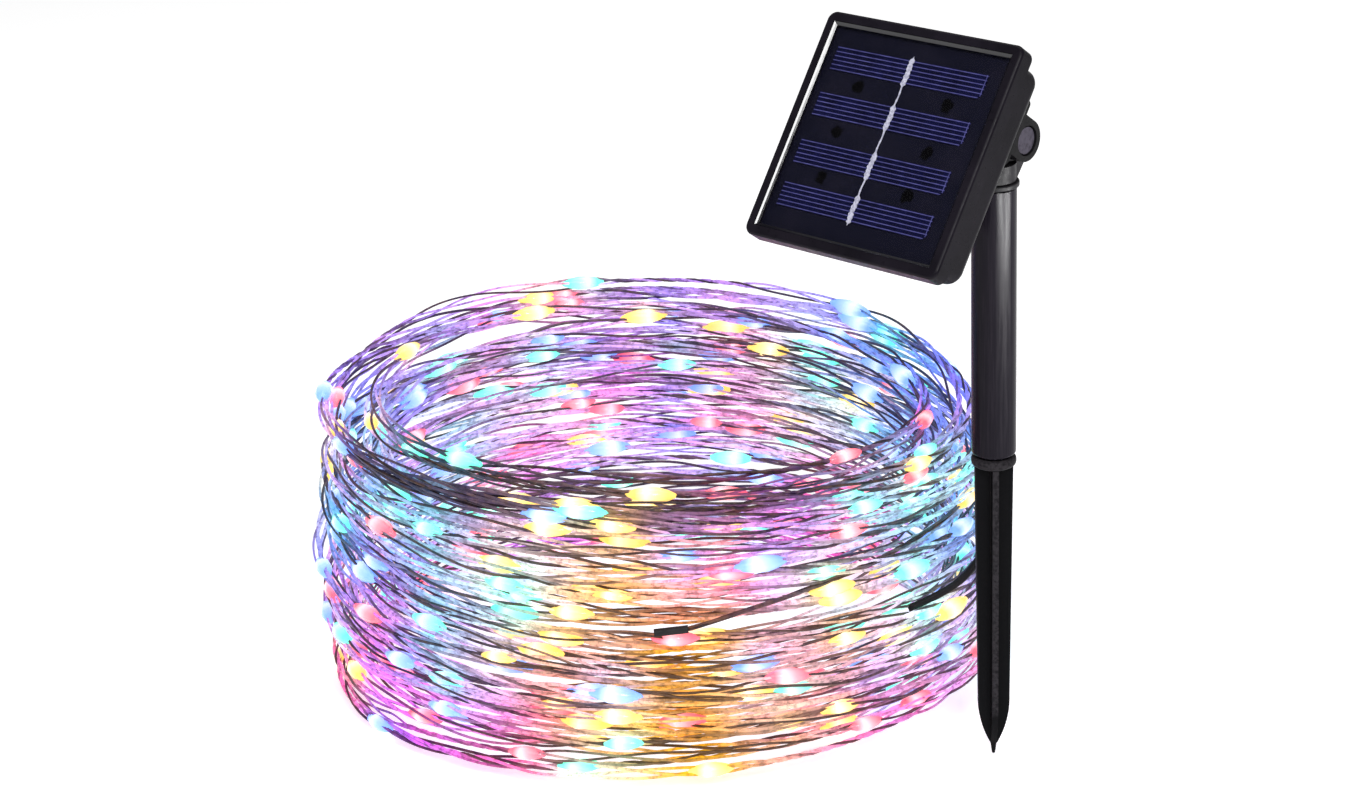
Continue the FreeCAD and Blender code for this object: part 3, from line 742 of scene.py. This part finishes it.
def spline_points(name: str, points: Sequence[Vector], resolution: int) -> np.ndarray:
    """Points along the smooth line of a route.

    Args:
        name: Name for the curve while it exists.
        points: Control points of the line.
        resolution: Steps per control point.

    Returns:
        Array of points in metres.
    """
    data = bpy.data.curves.new(name, "CURVE")
    data.dimensions = "3D"
    data.resolution_u = resolution
    spline = data.splines.new("NURBS")
    spline.points.add(len(points) - 1)
    for slot, point in zip(spline.points, points):
        slot.co = (*point, 1.0)
    spline.order_u = 3
    spline.use_endpoint_u = True
    holder = bpy.data.objects.new(name, data)
    bpy.context.scene.collection.objects.link(holder)
    mesh = bpy.data.meshes.new_from_object(holder)
    line = np.zeros(len(mesh.vertices) * 3)
    mesh.vertices.foreach_get("co", line)
    bpy.data.objects.remove(holder)
    bpy.data.curves.remove(data)
    bpy.data.meshes.remove(mesh)
    return line.reshape(-1, 3)


def run_lengths(line: np.ndarray) -> np.ndarray:
    """Distance along a line at each of its points."""
    steps = np.linalg.norm(np.diff(line, axis=0), axis=1)
    return np.concatenate(([0.0], np.cumsum(steps)))


def side_frames(line: np.ndarray) -> tuple[np.ndarray, np.ndarray, np.ndarray]:
    """Tangent and two cross directions along a line, carried along without twist.

    Args:
        line: Points of the line.

    Returns:
        Tangents, first sides and second sides, each as an array.
    """
    tangent = np.gradient(line, axis=0)
    tangent /= np.linalg.norm(tangent, axis=1, keepdims=True)
    first = np.zeros_like(line)
    start = np.cross(tangent[0], (0.0, 0.0, 1.0))
    if np.linalg.norm(start) < 0.1:
        start = np.cross(tangent[0], (1.0, 0.0, 0.0))
    side = start / np.linalg.norm(start)
    for index, along in enumerate(tangent):
        side = side - along * side.dot(along)
        side /= np.linalg.norm(side)
        first[index] = side
    return tangent, first, np.cross(tangent, first)


def tube_grid(line: np.ndarray, radius: object, sides: int) -> tuple[np.ndarray, list[tuple[int, ...]]]:
    """Vertices and faces of a closed tube round a line.

    Args:
        line: Points of the line.
        radius: Radius, or one radius for each point.
        sides: Number of sides.

    Returns:
        Vertex array and face list.
    """
    _, first, second = side_frames(line)
    angles = np.arange(sides) * 2 * math.pi / sides
    reach = np.broadcast_to(np.asarray(radius, float), (len(line),))[:, None, None]
    ring = (first[:, None, :] * np.cos(angles)[None, :, None]
            + second[:, None, :] * np.sin(angles)[None, :, None])
    verts = (line[:, None, :] + ring * reach).reshape(-1, 3)
    faces = []
    for row in range(len(line) - 1):
        base = row * sides
        for side in range(sides):
            after = (side + 1) % sides
            faces.append((base + side, base + after, base + sides + after, base + sides + side))
    faces.append(tuple(reversed(range(sides))))
    last = (len(line) - 1) * sides
    faces.append(tuple(last + side for side in range(sides)))
    return verts, faces


def add_mesh(name: str, verts: np.ndarray, faces: list[tuple[int, ...]],
             material: bpy.types.Material) -> bpy.types.Object:
    """Make a smooth-shaded object from vertices and faces.

    Args:
        name: Name of the piece.
        verts: Vertex array in metres.
        faces: Faces as tuples of vertex numbers.
        material: Its finish.

    Returns:
        The new object.
    """
    mesh = bpy.data.meshes.new(name)
    mesh.from_pydata(verts.tolist(), [], faces)
    mesh.polygons.foreach_set("use_smooth", np.ones(len(mesh.polygons), bool))
    mesh.materials.append(material)
    mesh.update()
    piece = bpy.data.objects.new(name, mesh)
    bpy.context.scene.collection.objects.link(piece)
    return piece


def colour_attribute(piece: bpy.types.Object, name: str, values: np.ndarray) -> None:
    """Store one colour for each vertex.

    Args:
        piece: Object that gets the colours.
        name: Name of the attribute.
        values: One colour for each vertex.
    """
    attribute = piece.data.attributes.new(name, "FLOAT_COLOR", "POINT")
    rgba = np.ones((len(values), 4), np.float32)
    rgba[:, :3] = values
    attribute.data.foreach_set("color", rgba.ravel())


# ---------------------------------------------------------------- details of the panel

@dataclass(frozen=True)
class Solder(Finish):
    """Tinned ribbon with lumpy bright solder."""

    bright: Colour = (0.86, 0.86, 0.92)
    dull: Colour = (0.50, 0.50, 0.58)

    def dress(self, shader: Shader) -> None:
        """Lay the finish on a material.

        Args:
            shader: The material under construction.
        """
        lumps = shader.noise(shader.object_coordinates(), 1100.0, 4.0, 0.65)
        shader.set(base_color=shader.mix(shader.ramp(lumps, 0.35, 0.65), self.bright, self.dull),
                   roughness=shader.ramp(lumps, 0.3, 0.7, 0.25, 0.5))
        shader.surface.inputs["Metallic"].default_value = 0.35
        shader.bump(lumps, 0.6, 0.0002)


@dataclass
class SolderRibbon:
    """Tinned ribbon down the middle of the panel, broad on the cells and thin between them."""

    head: HeadFrame
    broad: float = 1.75 * MM
    thin: float = 0.55 * MM
    thickness: float = 0.13 * MM
    rows: int = 90

    def width(self, along: float, strips: list[tuple[float, float]]) -> float:
        """Width of the ribbon at a place along it.

        Args:
            along: Place along the ribbon in metres.
            strips: Lowest and highest place of each cell strip.

        Returns:
            Width in metres.
        """
        on_cell = any(low - 0.4 * MM < along < high + 0.4 * MM for low, high in strips)
        ragged = math.sin(along * 5200.0) * 0.16 + math.sin(along * 2300.0 + 1.0) * 0.14
        return (self.broad if on_cell else self.thin) * (1 + ragged)

    def build(self) -> bpy.types.Object:
        """Model the ribbon from a grid and give it its thickness.

        Returns:
            The ribbon.
        """
        (left, right), (low, high), (bottom, _) = self.head.spans("cell_ribbon")
        strips = [self.head.spans(f"cell_strip_{number}")[1] for number in range(1, 5)]
        bpy.ops.object.select_all(action="DESELECT")
        bpy.ops.mesh.primitive_grid_add(x_subdivisions=3, y_subdivisions=self.rows, size=1.0)
        ribbon = bpy.context.active_object
        ribbon.name = "solder_ribbon"
        for vertex in ribbon.data.vertices:
            along = low + (vertex.co.y + 0.5) * (high - low)
            lean = 0.4 * MM * (along - low) / (high - low) + 0.12 * MM * math.sin(along * 900.0)
            tip = min(1.0, (high - along) / (1.5 * MM) + 0.25, (along - low) / (1.5 * MM) + 0.25)
            across = (left + right) / 2 - 0.2 * MM + lean + vertex.co.x * self.width(along, strips) * tip
            vertex.co = (across, along, bottom + 0.005 * MM)
        solid = ribbon.modifiers.new("thickness", "SOLIDIFY")
        solid.thickness = self.thickness
        solid.offset = 1.0
        bpy.ops.object.modifier_apply(modifier=solid.name)
        ribbon.data.transform(self.head.placement())
        ribbon.data.materials.append(Solder().make("solder"))
        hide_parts("cell_ribbon")
        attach(ribbon, "solar_head")
        LOG.info("solder ribbon: %d faces", len(ribbon.data.polygons))
        return ribbon


@dataclass
class ResinEdge:
    """Glossy edge where the poured resin climbs the inside of the bezel."""

    head: HeadFrame
    width: float = 0.95 * MM
    climb: float = 0.80 * MM
    thickness: float = 0.06 * MM

    def build(self) -> bpy.types.Object:
        """Model the edge from an inset plane.

        Returns:
            The resin edge.
        """
        (left, right), (low, high), (_, top) = self.head.spans("panel_cover")
        bpy.ops.object.select_all(action="DESELECT")
        bpy.ops.mesh.primitive_plane_add(size=1.0)
        edge = bpy.context.active_object
        edge.name = "resin_edge"
        for vertex in edge.data.vertices:
            vertex.co = (left + (vertex.co.x + 0.5) * (right - left),
                         low + (vertex.co.y + 0.5) * (high - low), top)
        bpy.ops.object.mode_set(mode="EDIT")
        bpy.ops.mesh.select_all(action="SELECT")
        bpy.ops.mesh.inset(thickness=self.width * 0.5, depth=0.0)
        bpy.ops.mesh.inset(thickness=self.width * 0.5, depth=0.0)
        bpy.ops.mesh.delete(type="FACE")
        bpy.ops.object.mode_set(mode="OBJECT")
        middle = ((left + right) / 2, (low + high) / 2)
        half = (right - left) / 2
        for vertex in edge.data.vertices:
            off = half - max(abs(vertex.co.x - middle[0]), abs(vertex.co.y - middle[1]))
            share = min(1.0, off / self.width)
            vertex.co.z = top + self.climb * (1 - share) * (1 - 0.12 * share) + 0.01 * MM
        solid = edge.modifiers.new("thickness", "SOLIDIFY")
        solid.thickness = self.thickness
        solid.offset = 1.0
        bpy.ops.object.modifier_apply(modifier=solid.name)
        edge.data.transform(self.head.placement())
        resin = MouldedPlastic(colour=(0.004, 0.004, 0.006), cloud=(0.008, 0.007, 0.011), roughness=0.09,
                               specular=0.6, grain=500.0, grain_depth=0.000004)
        edge.data.materials.append(resin.make("poured_resin"))
        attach(edge, "solar_head")
        LOG.info("resin edge: %d faces", len(edge.data.polygons))
        return edge


# ---------------------------------------------------------------- lead

@dataclass
class Lead:
    """Black lead from the head, behind the stake, to the coil."""

    diameter: float = 2.6 * MM
    sides: int = 12
    resolution: int = 12
    upper: tuple[tuple[float, float, float], ...] = (
        (-26.06, 0.23, 206.06), (-13.44, 13.43, 192.79), (-7.6, 17.4, 184.2), (-4.2, 18.0, 173.6),
        (-1.2, 16.9, 162.4),
    )
    lower: tuple[tuple[float, float, float], ...] = (
        (-1.2, 16.9, 162.4), (1.8, 15.8, 151.2), (2.6, 14.2, 135.0), (1.2, 13.7, 115.0), (1.8, 13.2, 94.5),
        (1.6, 14.4, 76.0), (-3.4, 17.2, 61.0), (-13.5, 18.6, 50.5), (-26.5, 17.2, 46.0),
    )
    end: Vector = field(default_factory=Vector)

    def build(self) -> list[bpy.types.Object]:
        """Returns:
            The two pieces.
        """
        jacket = MouldedPlastic(colour=(0.009, 0.008, 0.010), cloud=(0.018, 0.016, 0.019), roughness=0.45,
                                grain=1800.0).make("lead_jacket")
        pieces = []
        runs = (("lead_top", self.upper, "lead_upper", ("lead_gland",)),
                ("lead_bottom", self.lower, "lead_lower", ()))
        for name, route, node, fittings in runs:
            points = [Vector(point) * MM for point in route]
            line = spline_points(name, points, self.resolution)
            verts, faces = tube_grid(line, self.diameter / 2, self.sides)
            piece = add_mesh(name, verts, faces, jacket)
            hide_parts(node)
            pieces.append(piece)
        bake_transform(pieces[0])
        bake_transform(pieces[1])
        self.end = Vector(self.lower[-1]) * MM
        LOG.info("lead: two stretches")
        return pieces


# ---------------------------------------------------------------- coil of light string

@dataclass(frozen=True)
class LitWire(Finish):
    """Fine bare wire: dark bronze lacquer, with the light from the lights beside it painted on as a glow."""

    lacquer: Colour = (0.016, 0.010, 0.014)
    copper: Colour = (0.090, 0.045, 0.028)

    def dress(self, shader: Shader) -> None:
        """Lay the finish on a material.

        Args:
            shader: The material under construction.
        """
        place = shader.object_coordinates()
        glow = shader.node("Attribute", attribute_name="glow").outputs["Color"]
        patches = shader.noise(place, 260.0, 3.0, 0.6)
        wire = shader.mix(shader.ramp(patches, 0.4, 0.62), self.lacquer, self.copper)
        # painted light: a share of the painted glow is added to the wire's own colour
        shader.set(base_color=shader.mix(0.22, wire, glow, "ADD"), roughness=0.36)
        shader.surface.inputs["Specular IOR Level"].default_value = 0.35
        shader.surface.inputs["Metallic"].default_value = 0.15
        # painted light and shade: noise breaks the painted glow into brighter and darker stretches along the
        # strands
        painted_glow_streaks = shader.ramp(shader.noise(place, 420.0, 3.0, 0.65), 0.32, 0.62, 0.35, 1.15)
        # painted glow: the wire emits the light that the lights beside it would throw on it
        shader.link(shader.mix(1.0, glow, shader.mix(painted_glow_streaks, (0, 0, 0), (1, 1, 1)), "MULTIPLY"),
                    shader.surface.inputs["Emission Color"])
        shader.surface.inputs["Emission Strength"].default_value = 1.0


@dataclass(frozen=True)
class LitResin(Finish):
    """Clear resin drop glowing from the chip inside it."""

    strength: float = 1.0

    def dress(self, shader: Shader) -> None:
        """Lay the finish on a material.

        Args:
            shader: The material under construction.
        """
        glow = shader.node("Attribute", attribute_name="glow").outputs["Color"]
        ripple = shader.noise(shader.object_coordinates(), 900.0, 2.0, 0.5)
        shader.set(base_color=shader.mix(0.12, glow, (0.9, 0.9, 0.95)), roughness=0.12)
        shader.link(glow, shader.surface.inputs["Emission Color"])
        shader.surface.inputs["Emission Strength"].default_value = self.strength
        shader.surface.inputs["Coat Weight"].default_value = 0.25
        shader.surface.inputs["Specular IOR Level"].default_value = 0.25
        shader.bump(ripple, 0.25, 0.00015)


@dataclass
class LightString:
    """Loose oval coil of three-strand wire with moulded lights."""

    start: Vector
    turns: float = 63.13
    points_per_turn: int = 14
    resolution: int = 17
    bundle_diameter: float = 2.6 * MM
    strand_radius: float = 0.50 * MM
    strand_sides: int = 4
    tight_offset: float = 0.48 * MM
    slack_offset: float = 2.10 * MM
    tight_pitch: float = 16.0 * MM
    slack_pitch: float = 90.0 * MM
    wall: float = 19.0 * MM
    rise: float = 2.4 * MM
    wall_height: float = 104.0 * MM
    rim_gap: float = 1.3 * MM
    slope: float = math.radians(3.4)
    rear_lift: float = 9.0 * MM
    foot_inset: float = 1.2 * MM
    top_inset: float = 9.0 * MM
    widest_level: float = 0.35
    # turn, width in turns and reach of each loop that stands out
    bulges: tuple[tuple[float, float, float], ...] = (
        (50.40, 0.07, 8.0 * MM), (48.38, 0.06, 5.0 * MM), (52.45, 0.08, 6.0 * MM), (45.36, 0.06, 6.0 * MM),
        (41.42, 0.07, 5.0 * MM), (38.40, 0.06, 6.0 * MM), (54.90, 0.05, 4.0 * MM), (44.95, 0.07, 5.0 * MM),
        (57.35, 0.05, 4.0 * MM), (35.90, 0.06, 4.5 * MM), (62.90, 0.12, 5.0 * MM),
    )
    # turn and height on the wall, from 0 at the foot to 1 at the rim
    level_knots: tuple[tuple[float, float], ...] = (
        (0, 0.44), (6, 0.02), (18, 1.0), (32, 0.01), (48, 1.0), (59.3, 0.30), (62.7, 0.97), (62.85, 0.86),
        (63.13, 0.57),
    )
    # turn and depth in the wall, from 0 inside to 1 outside
    layer_knots: tuple[tuple[float, float], ...] = (
        (0, 0.45), (6, 0.3), (8, 0.02), (17, 0.1), (20, 0.42), (28, 0.55), (30, 1.0), (34, 1.0), (47, 1.0),
        (50, 0.9), (63.2, 1.0),
    )
    drop_spacing: float = 126.0 * MM
    drop_jitter: float = 12.0 * MM
    first_drop: float = 0.30
    drop_half_length: float = 7.8 * MM
    drop_radius: float = 3.0 * MM
    drop_flatness: float = 0.88
    tail_length: float = 130.0 * MM
    sections: int = 4
    seed: int = 7
    near_glow: float = 10.5 * MM     # reach of a light on the wire beside it
    wide_glow: float = 26.0 * MM     # reach of its haze
    vividness: float = 1.55          # colour of the lit wire, against its grey
    brightest: float = 1.10          # strongest glow of the wire

    def __post_init__(self) -> None:
        """Take the coil's size from its CAD solid."""
        low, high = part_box("light_string_coil")
        self.centre = (low + high) / 2
        self.half_x = (high.x - low.x) / 2
        self.half_y = (high.y - low.y) / 2
        self.height = self.wall_height
        self.random = np.random.default_rng(self.seed)

    def route(self) -> list[Vector]:
        """Wind the whole string in passes up and down the wall of the coil.

        Returns:
            Control points of the string's line.
        """
        count = int(self.turns * self.points_per_turn)
        turn = np.linspace(0.0, self.turns, count)
        offset = self.start - self.centre
        first_angle = math.atan2(offset.y / self.half_y, offset.x / self.half_x)
        angle = first_angle - 2 * math.pi * turn
        level = np.interp(turn, *zip(*self.level_knots))
        layer = np.interp(turn, *zip(*self.layer_knots))
        kernel = np.hanning(15) / np.hanning(15).sum()
        level = level + np.convolve(self.random.normal(0.0, 0.036, count), kernel, "same")
        # slow waves shared by the turns: each turn leans and wanders a little against the last
        lean = (0.040 * np.sin(0.93 * angle + 0.4) + 0.030 * np.sin(1.09 * angle + 2.1)
                + 0.016 * np.sin(2.31 * angle + 1.0) + 0.008 * np.sin(4.7 * angle + 0.3))
        drift = (1.7 * np.sin(0.91 * angle + 1.9) + 1.5 * np.sin(1.17 * angle + 0.2)
                 + 1.1 * np.sin(2.07 * angle + 2.6) + 0.6 * np.sin(3.9 * angle)) * MM
        for place, width, outwards in self.bulges:
            drift = drift + outwards * np.exp(-((turn - place) / width) ** 2)
        settle = np.clip(np.minimum(turn / 0.6, (self.turns - turn) / 0.35), 0, 1)
        level = level + lean * settle
        level = np.where(level > 1.0, 1.0 - 0.5 * (level - 1.0), level)
        level = np.where(level < 0.0, -0.5 * level, level)
        barrel = np.where(level < self.widest_level,
                          self.foot_inset * (1 - level / self.widest_level) ** 2,
                          self.top_inset * ((level - self.widest_level) / (1 - self.widest_level)) ** 1.6)
        inset = barrel + self.wall * (1 - layer) + self.bundle_diameter * 0.9 - drift * settle
        x = self.centre.x + (self.half_x - inset) * np.cos(angle)
        y = self.centre.y + (self.half_y - inset) * np.sin(angle)
        rear = np.clip((y - self.centre.y) / self.half_y, -0.2, 1.0)
        top = self.height - np.tan(self.slope) * (x - self.centre.x) + self.rear_lift * rear
        z = np.maximum(level, 0.0) * (top - self.rim_gap - self.rise) + self.rise
        points = [Vector(row) for row in np.stack((x, y, z), axis=-1)]
        cap_low, cap_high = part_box("string_end_cap")
        end = Vector((cap_high.x, (cap_low.y + cap_high.y) / 2, cap_high.z - 1.3 * MM))
        return [self.start, *points[2:-1], end]

    def build(self) -> list[bpy.types.Object]:
        """Returns:
            The pieces.
        """
        line = spline_points("string_route", self.route(), self.resolution)
        along = run_lengths(line)
        LOG.info("light string: %.2f m, %d points", along[-1], len(line))
        spots = np.arange(self.first_drop, along[-1] - 0.04, self.drop_spacing)
        spots = spots + self.random.uniform(-self.drop_jitter, self.drop_jitter, len(spots))
        places = np.stack([np.interp(spots, along, line[:, axis]) for axis in range(3)], axis=-1)
        tangent, first, second = side_frames(line)
        ways = np.stack([np.interp(spots, along, tangent[:, axis]) for axis in range(3)], axis=-1)
        hues = self.pick_hues(places)
        wire = LitWire().make("lit_wire")
        cuts = np.linspace(0, len(line) - 1, self.sections + 1).astype(int)
        drops = self.lights(places, ways, hues)
        pieces = []
        for section in range(self.sections):
            piece = self.strands(f"light_string_{section + 1}", line, along, first, second,
                                 slice(cuts[section], cuts[section + 1] + 1), wire, places, hues)
            pieces.append(piece)
        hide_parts("light_string_coil")
        for section, piece in enumerate(pieces):
            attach(piece, "stake")
        return pieces + drops

    def pick_hues(self, places: np.ndarray) -> list[Hue]:
        """Colour of each light: a repeating order, pulled towards the colour of its side of the coil.

        Args:
            places: Positions of the lights.

        Returns:
            One hue for each light.
        """
        order = (Hue.BLUE, Hue.RED, Hue.GREEN, Hue.GOLD)
        hues = []
        for number, place in enumerate(places):
            hue = order[number % len(order)]
            across = (place[0] - self.centre.x) / self.half_x
            front = (self.centre.y - place[1]) / self.half_y
            level = place[2] / self.height
            draw = self.random.random()
            if front > 0.6 and -0.25 < across < 0.5 and draw < 0.45:
                hue = Hue.GOLD
            elif level > 0.25 and abs(across) > 0.55 and draw < 0.35:
                hue = Hue.GREEN if draw < 0.18 else Hue.BLUE
            elif across > 0.9 and level < 0.5:
                hue = Hue.GREEN
            elif level < 0.35 and abs(across) > 0.3 and draw < 0.4:
                hue = Hue.RED
            hues.append(hue)
        return hues

    def tint(self, points: np.ndarray, places: np.ndarray, hues: list[Hue]) -> np.ndarray:
        """Colour that the lights throw on points of the wire, painted on it as glow.

        Args:
            points: Points on the wire.
            places: Positions of the lights.
            hues: Colours of the lights.

        Returns:
            One colour for each point.
        """
        colours = np.array([hue.value for hue in hues])
        total = np.zeros((len(points), 3))
        # painted light: each light's glow on the wire near it, and a wider painted haze
        for start in range(0, len(points), 4000):
            block = points[start:start + 4000]
            gap = ((block[:, None, :] - places[None, :, :]) ** 2).sum(axis=2)
            near = 1.25 / (1.0 + gap / self.near_glow ** 2) ** 1.6
            wide = 0.010 / (1.0 + gap / self.wide_glow ** 2) ** 2
            total[start:start + 4000] = (near * 0.85 + wide) @ colours
        across = (points[:, 0] - self.centre.x) / self.half_x
        front = (self.centre.y - points[:, 1]) / self.half_y
        level = points[:, 2] / self.height
        # painted haze of the lights massed on each side of the coil: gold at the front middle, cyan and rose
        # on the sides, violet elsewhere
        mood = 0.5 + 0.5 * np.sin(across * 9.0 + level * 7.0 + front * 3.0)
        gold = (np.exp(-((across - 0.06) / 0.30) ** 2) * np.clip(front * 1.5, 0, 1)
                * np.clip(2.1 - 2.4 * level, 0, 1))
        sides = np.clip((np.abs(across) - 0.25) / 0.3, 0, 1)
        cyan = 0.6 * sides * np.clip(1 - np.abs(level - 0.68) / 0.25, 0, 1) * mood
        rose = 0.9 * sides * np.clip(1.3 - 2.2 * level, 0, 1) * (1 - mood)
        tones = ((gold, Tone.GOLDEN), (cyan, Tone.CYAN), (rose, Tone.ROSE))
        base = np.outer(np.clip(1 - gold - cyan - rose, 0, 1), Tone.VIOLET.value)
        for weight, tone in tones:
            base += np.outer(weight, tone.value)
        # painted lilac haze over the back of the coil
        back = np.clip(-front * 1.4, 0, 1)[:, None]
        base = base * (1 - back * 0.6) + np.array(Tone.LILAC.value) * back * 0.6
        # the painted glow is mostly taken off the front of the rim, so its strands keep their own dark colour
        rim = np.clip((level - 0.84) / 0.09, 0, 1) * np.clip(front * 2.2, 0, 1)
        dim = (1 - 0.88 * rim)[:, None]
        colour = (total * 0.80 + base * 0.68) * dim
        grey = colour.mean(axis=1, keepdims=True)
        vivid = np.maximum(grey + (colour - grey) * self.vividness, 0)
        return vivid / np.maximum(vivid.max(axis=1, keepdims=True) / self.brightest, 1)

    def slackness(self, distance: np.ndarray) -> np.ndarray:
        """How far the strands lie apart along the string.

        Args:
            distance: Distance along the string at each point.

        Returns:
            0 where they are twisted tight to 1 where they are loose.
        """
        wave = (0.56 + 0.34 * np.sin(29.0 * distance + 1.6 * np.sin(9.7 * distance))
                + 0.26 * np.sin(53.0 * distance + 0.7))
        share = np.clip((wave - 0.22) / 0.5, 0, 1)
        return share * share * (3 - 2 * share)

    def strands(self, name: str, line: np.ndarray, along: np.ndarray, first: np.ndarray,
                second: np.ndarray, part: slice, wire: bpy.types.Material, places: np.ndarray,
                hues: list[Hue]) -> bpy.types.Object:
        """Three twisted strands along one stretch of the string.

        Args:
            name: Name of the piece.
            line: Points of the whole string.
            along: Distance along the string at each point.
            first: First side direction at each point.
            second: Second side direction at each point.
            part: Points that this stretch takes.
            wire: Finish of the wire.
            places: Positions of the lights.
            hues: Colours of the lights.

        Returns:
            The stretch as one piece.
        """
        stretch = line[part]
        distance = along[part]
        slack = self.slackness(distance)
        rate = 2 * math.pi / (self.tight_pitch + (self.slack_pitch - self.tight_pitch) * slack)
        turn = np.concatenate(([0.0], np.cumsum((rate[1:] + rate[:-1]) / 2 * np.diff(distance))))
        reach = self.tight_offset + (self.slack_offset - self.tight_offset) * slack
        verts_all, faces_all, glow_all = [], [], []
        count = 0
        tail = np.clip((distance - along[-1] + self.tail_length) / (20.0 * MM), 0, 1)
        # the painted glow drops off along the tail before the end cap
        lit = self.tint(stretch, places, hues) * (1 - 0.9 * tail)[:, None]
        reach = reach * (1 - tail) + self.tight_offset * tail
        for strand in range(3):
            phase = turn + strand * 2 * math.pi / 3
            own = reach * (1 - 0.4 * slack * np.sin(distance * (23.0 + 5 * strand) + strand) ** 2)
            spread = first[part] * np.cos(phase)[:, None] + second[part] * np.sin(phase)[:, None]
            centre = stretch + own[:, None] * spread
            verts, faces = tube_grid(centre, self.strand_radius, self.strand_sides)
            # painted light and shade: each strand takes more or less of the painted glow along its length, so
            # some stretches read dark
            wave = np.sin(distance * (5.3 + strand) + strand * 2.0) * np.sin(distance * 17.9 + strand * 4.1)
            fade = 0.06 + 0.94 * np.clip((0.22 + 0.5 * wave) / 0.38, 0, 1)
            verts_all.append(verts)
            faces_all.extend(tuple(index + count for index in face) for face in faces)
            glow_all.append(np.repeat(lit * fade[:, None], self.strand_sides, axis=0))
            count += len(verts)
        piece = add_mesh(name, np.concatenate(verts_all), faces_all, wire)
        colour_attribute(piece, "glow", np.concatenate(glow_all))
        LOG.info("%s: %d faces", name, len(faces_all))
        return piece

    def drop_shape(self) -> tuple[np.ndarray, list[tuple[int, ...]], np.ndarray]:
        """One light: a clear drop along X with its ends drawn out on the wire.

        Returns:
            Vertices, faces and how hot each vertex looks.
        """
        bpy.ops.object.select_all(action="DESELECT")
        bpy.ops.mesh.primitive_uv_sphere_add(segments=8, ring_count=7, radius=1.0,
                                             rotation=(0, math.pi / 2, 0))
        drop = bpy.context.active_object
        bpy.ops.object.transform_apply(location=False, rotation=True, scale=False)
        verts = np.array([vertex.co for vertex in drop.data.vertices])
        # The primitive lists its faces in a new order on every run.
        faces = sorted(tuple(polygon.vertices) for polygon in drop.data.polygons)
        bpy.data.objects.remove(drop)
        x = verts[:, 0]
        shaped = verts.copy()
        shaped[:, 0] = x * self.drop_half_length
        bulge = (0.55 + 0.45 * (1 - np.abs(x)) ** 0.5) * self.drop_radius
        shaped[:, 1] *= bulge
        shaped[:, 2] *= bulge * self.drop_flatness
        hot = np.clip(1 - np.abs(x - 0.12) / 0.45, 0, 1)
        return shaped, faces, hot

    def lights(self, places: np.ndarray, ways: np.ndarray, hues: list[Hue]) -> list[bpy.types.Object]:
        """All the moulded lights, one piece for each colour.

        Args:
            places: Positions of the lights.
            ways: Directions of the wire at the lights.
            hues: Colours of the lights.

        Returns:
            The pieces.
        """
        shape, faces, hot = self.drop_shape()
        resin = LitResin().make("lit_resin")
        pieces = []
        for hue in Hue:
            verts_all, faces_all, glow_all = [], [], []
            count = 0
            for place, way, own in zip(places, ways, hues):
                if own is not hue:
                    continue
                size = self.random.uniform(0.85, 1.2)
                turn = Vector(way).to_track_quat("X", "Z").to_matrix()
                moved = shape * size @ np.array(turn).T + place
                moved[:, 2] = np.maximum(moved[:, 2], 0.1 * MM)
                colour = np.array(hue.value)
                core = 0.5 * colour + 0.5
                glow = colour * (1 - hot[:, None]) * 0.95 + core * hot[:, None] * 1.2
                verts_all.append(moved)
                faces_all.extend(tuple(index + count for index in face) for face in faces)
                glow_all.append(glow)
                count += len(moved)
            piece = add_mesh(f"lights_{hue.name.lower()}", np.concatenate(verts_all), faces_all, resin)
            colour_attribute(piece, "glow", np.concatenate(glow_all))
            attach(piece, "stake")
            pieces.append(piece)
            LOG.info("%s: %d faces", piece.name, len(faces_all))
        return pieces


def main() -> None:
    """Build every sub-assembly in order."""
    logging.basicConfig(level=logging.INFO, format="%(message)s")
    Studio().build()
    lead = Lead()
    lead.build()
    LightString(start=lead.end).build()
    head = HeadFrame()
    CadFinishes(head=head).build()
    SolderRibbon(head=head).build()
    ResinEdge(head=head).build()


if __name__ == "__main__":
    main()
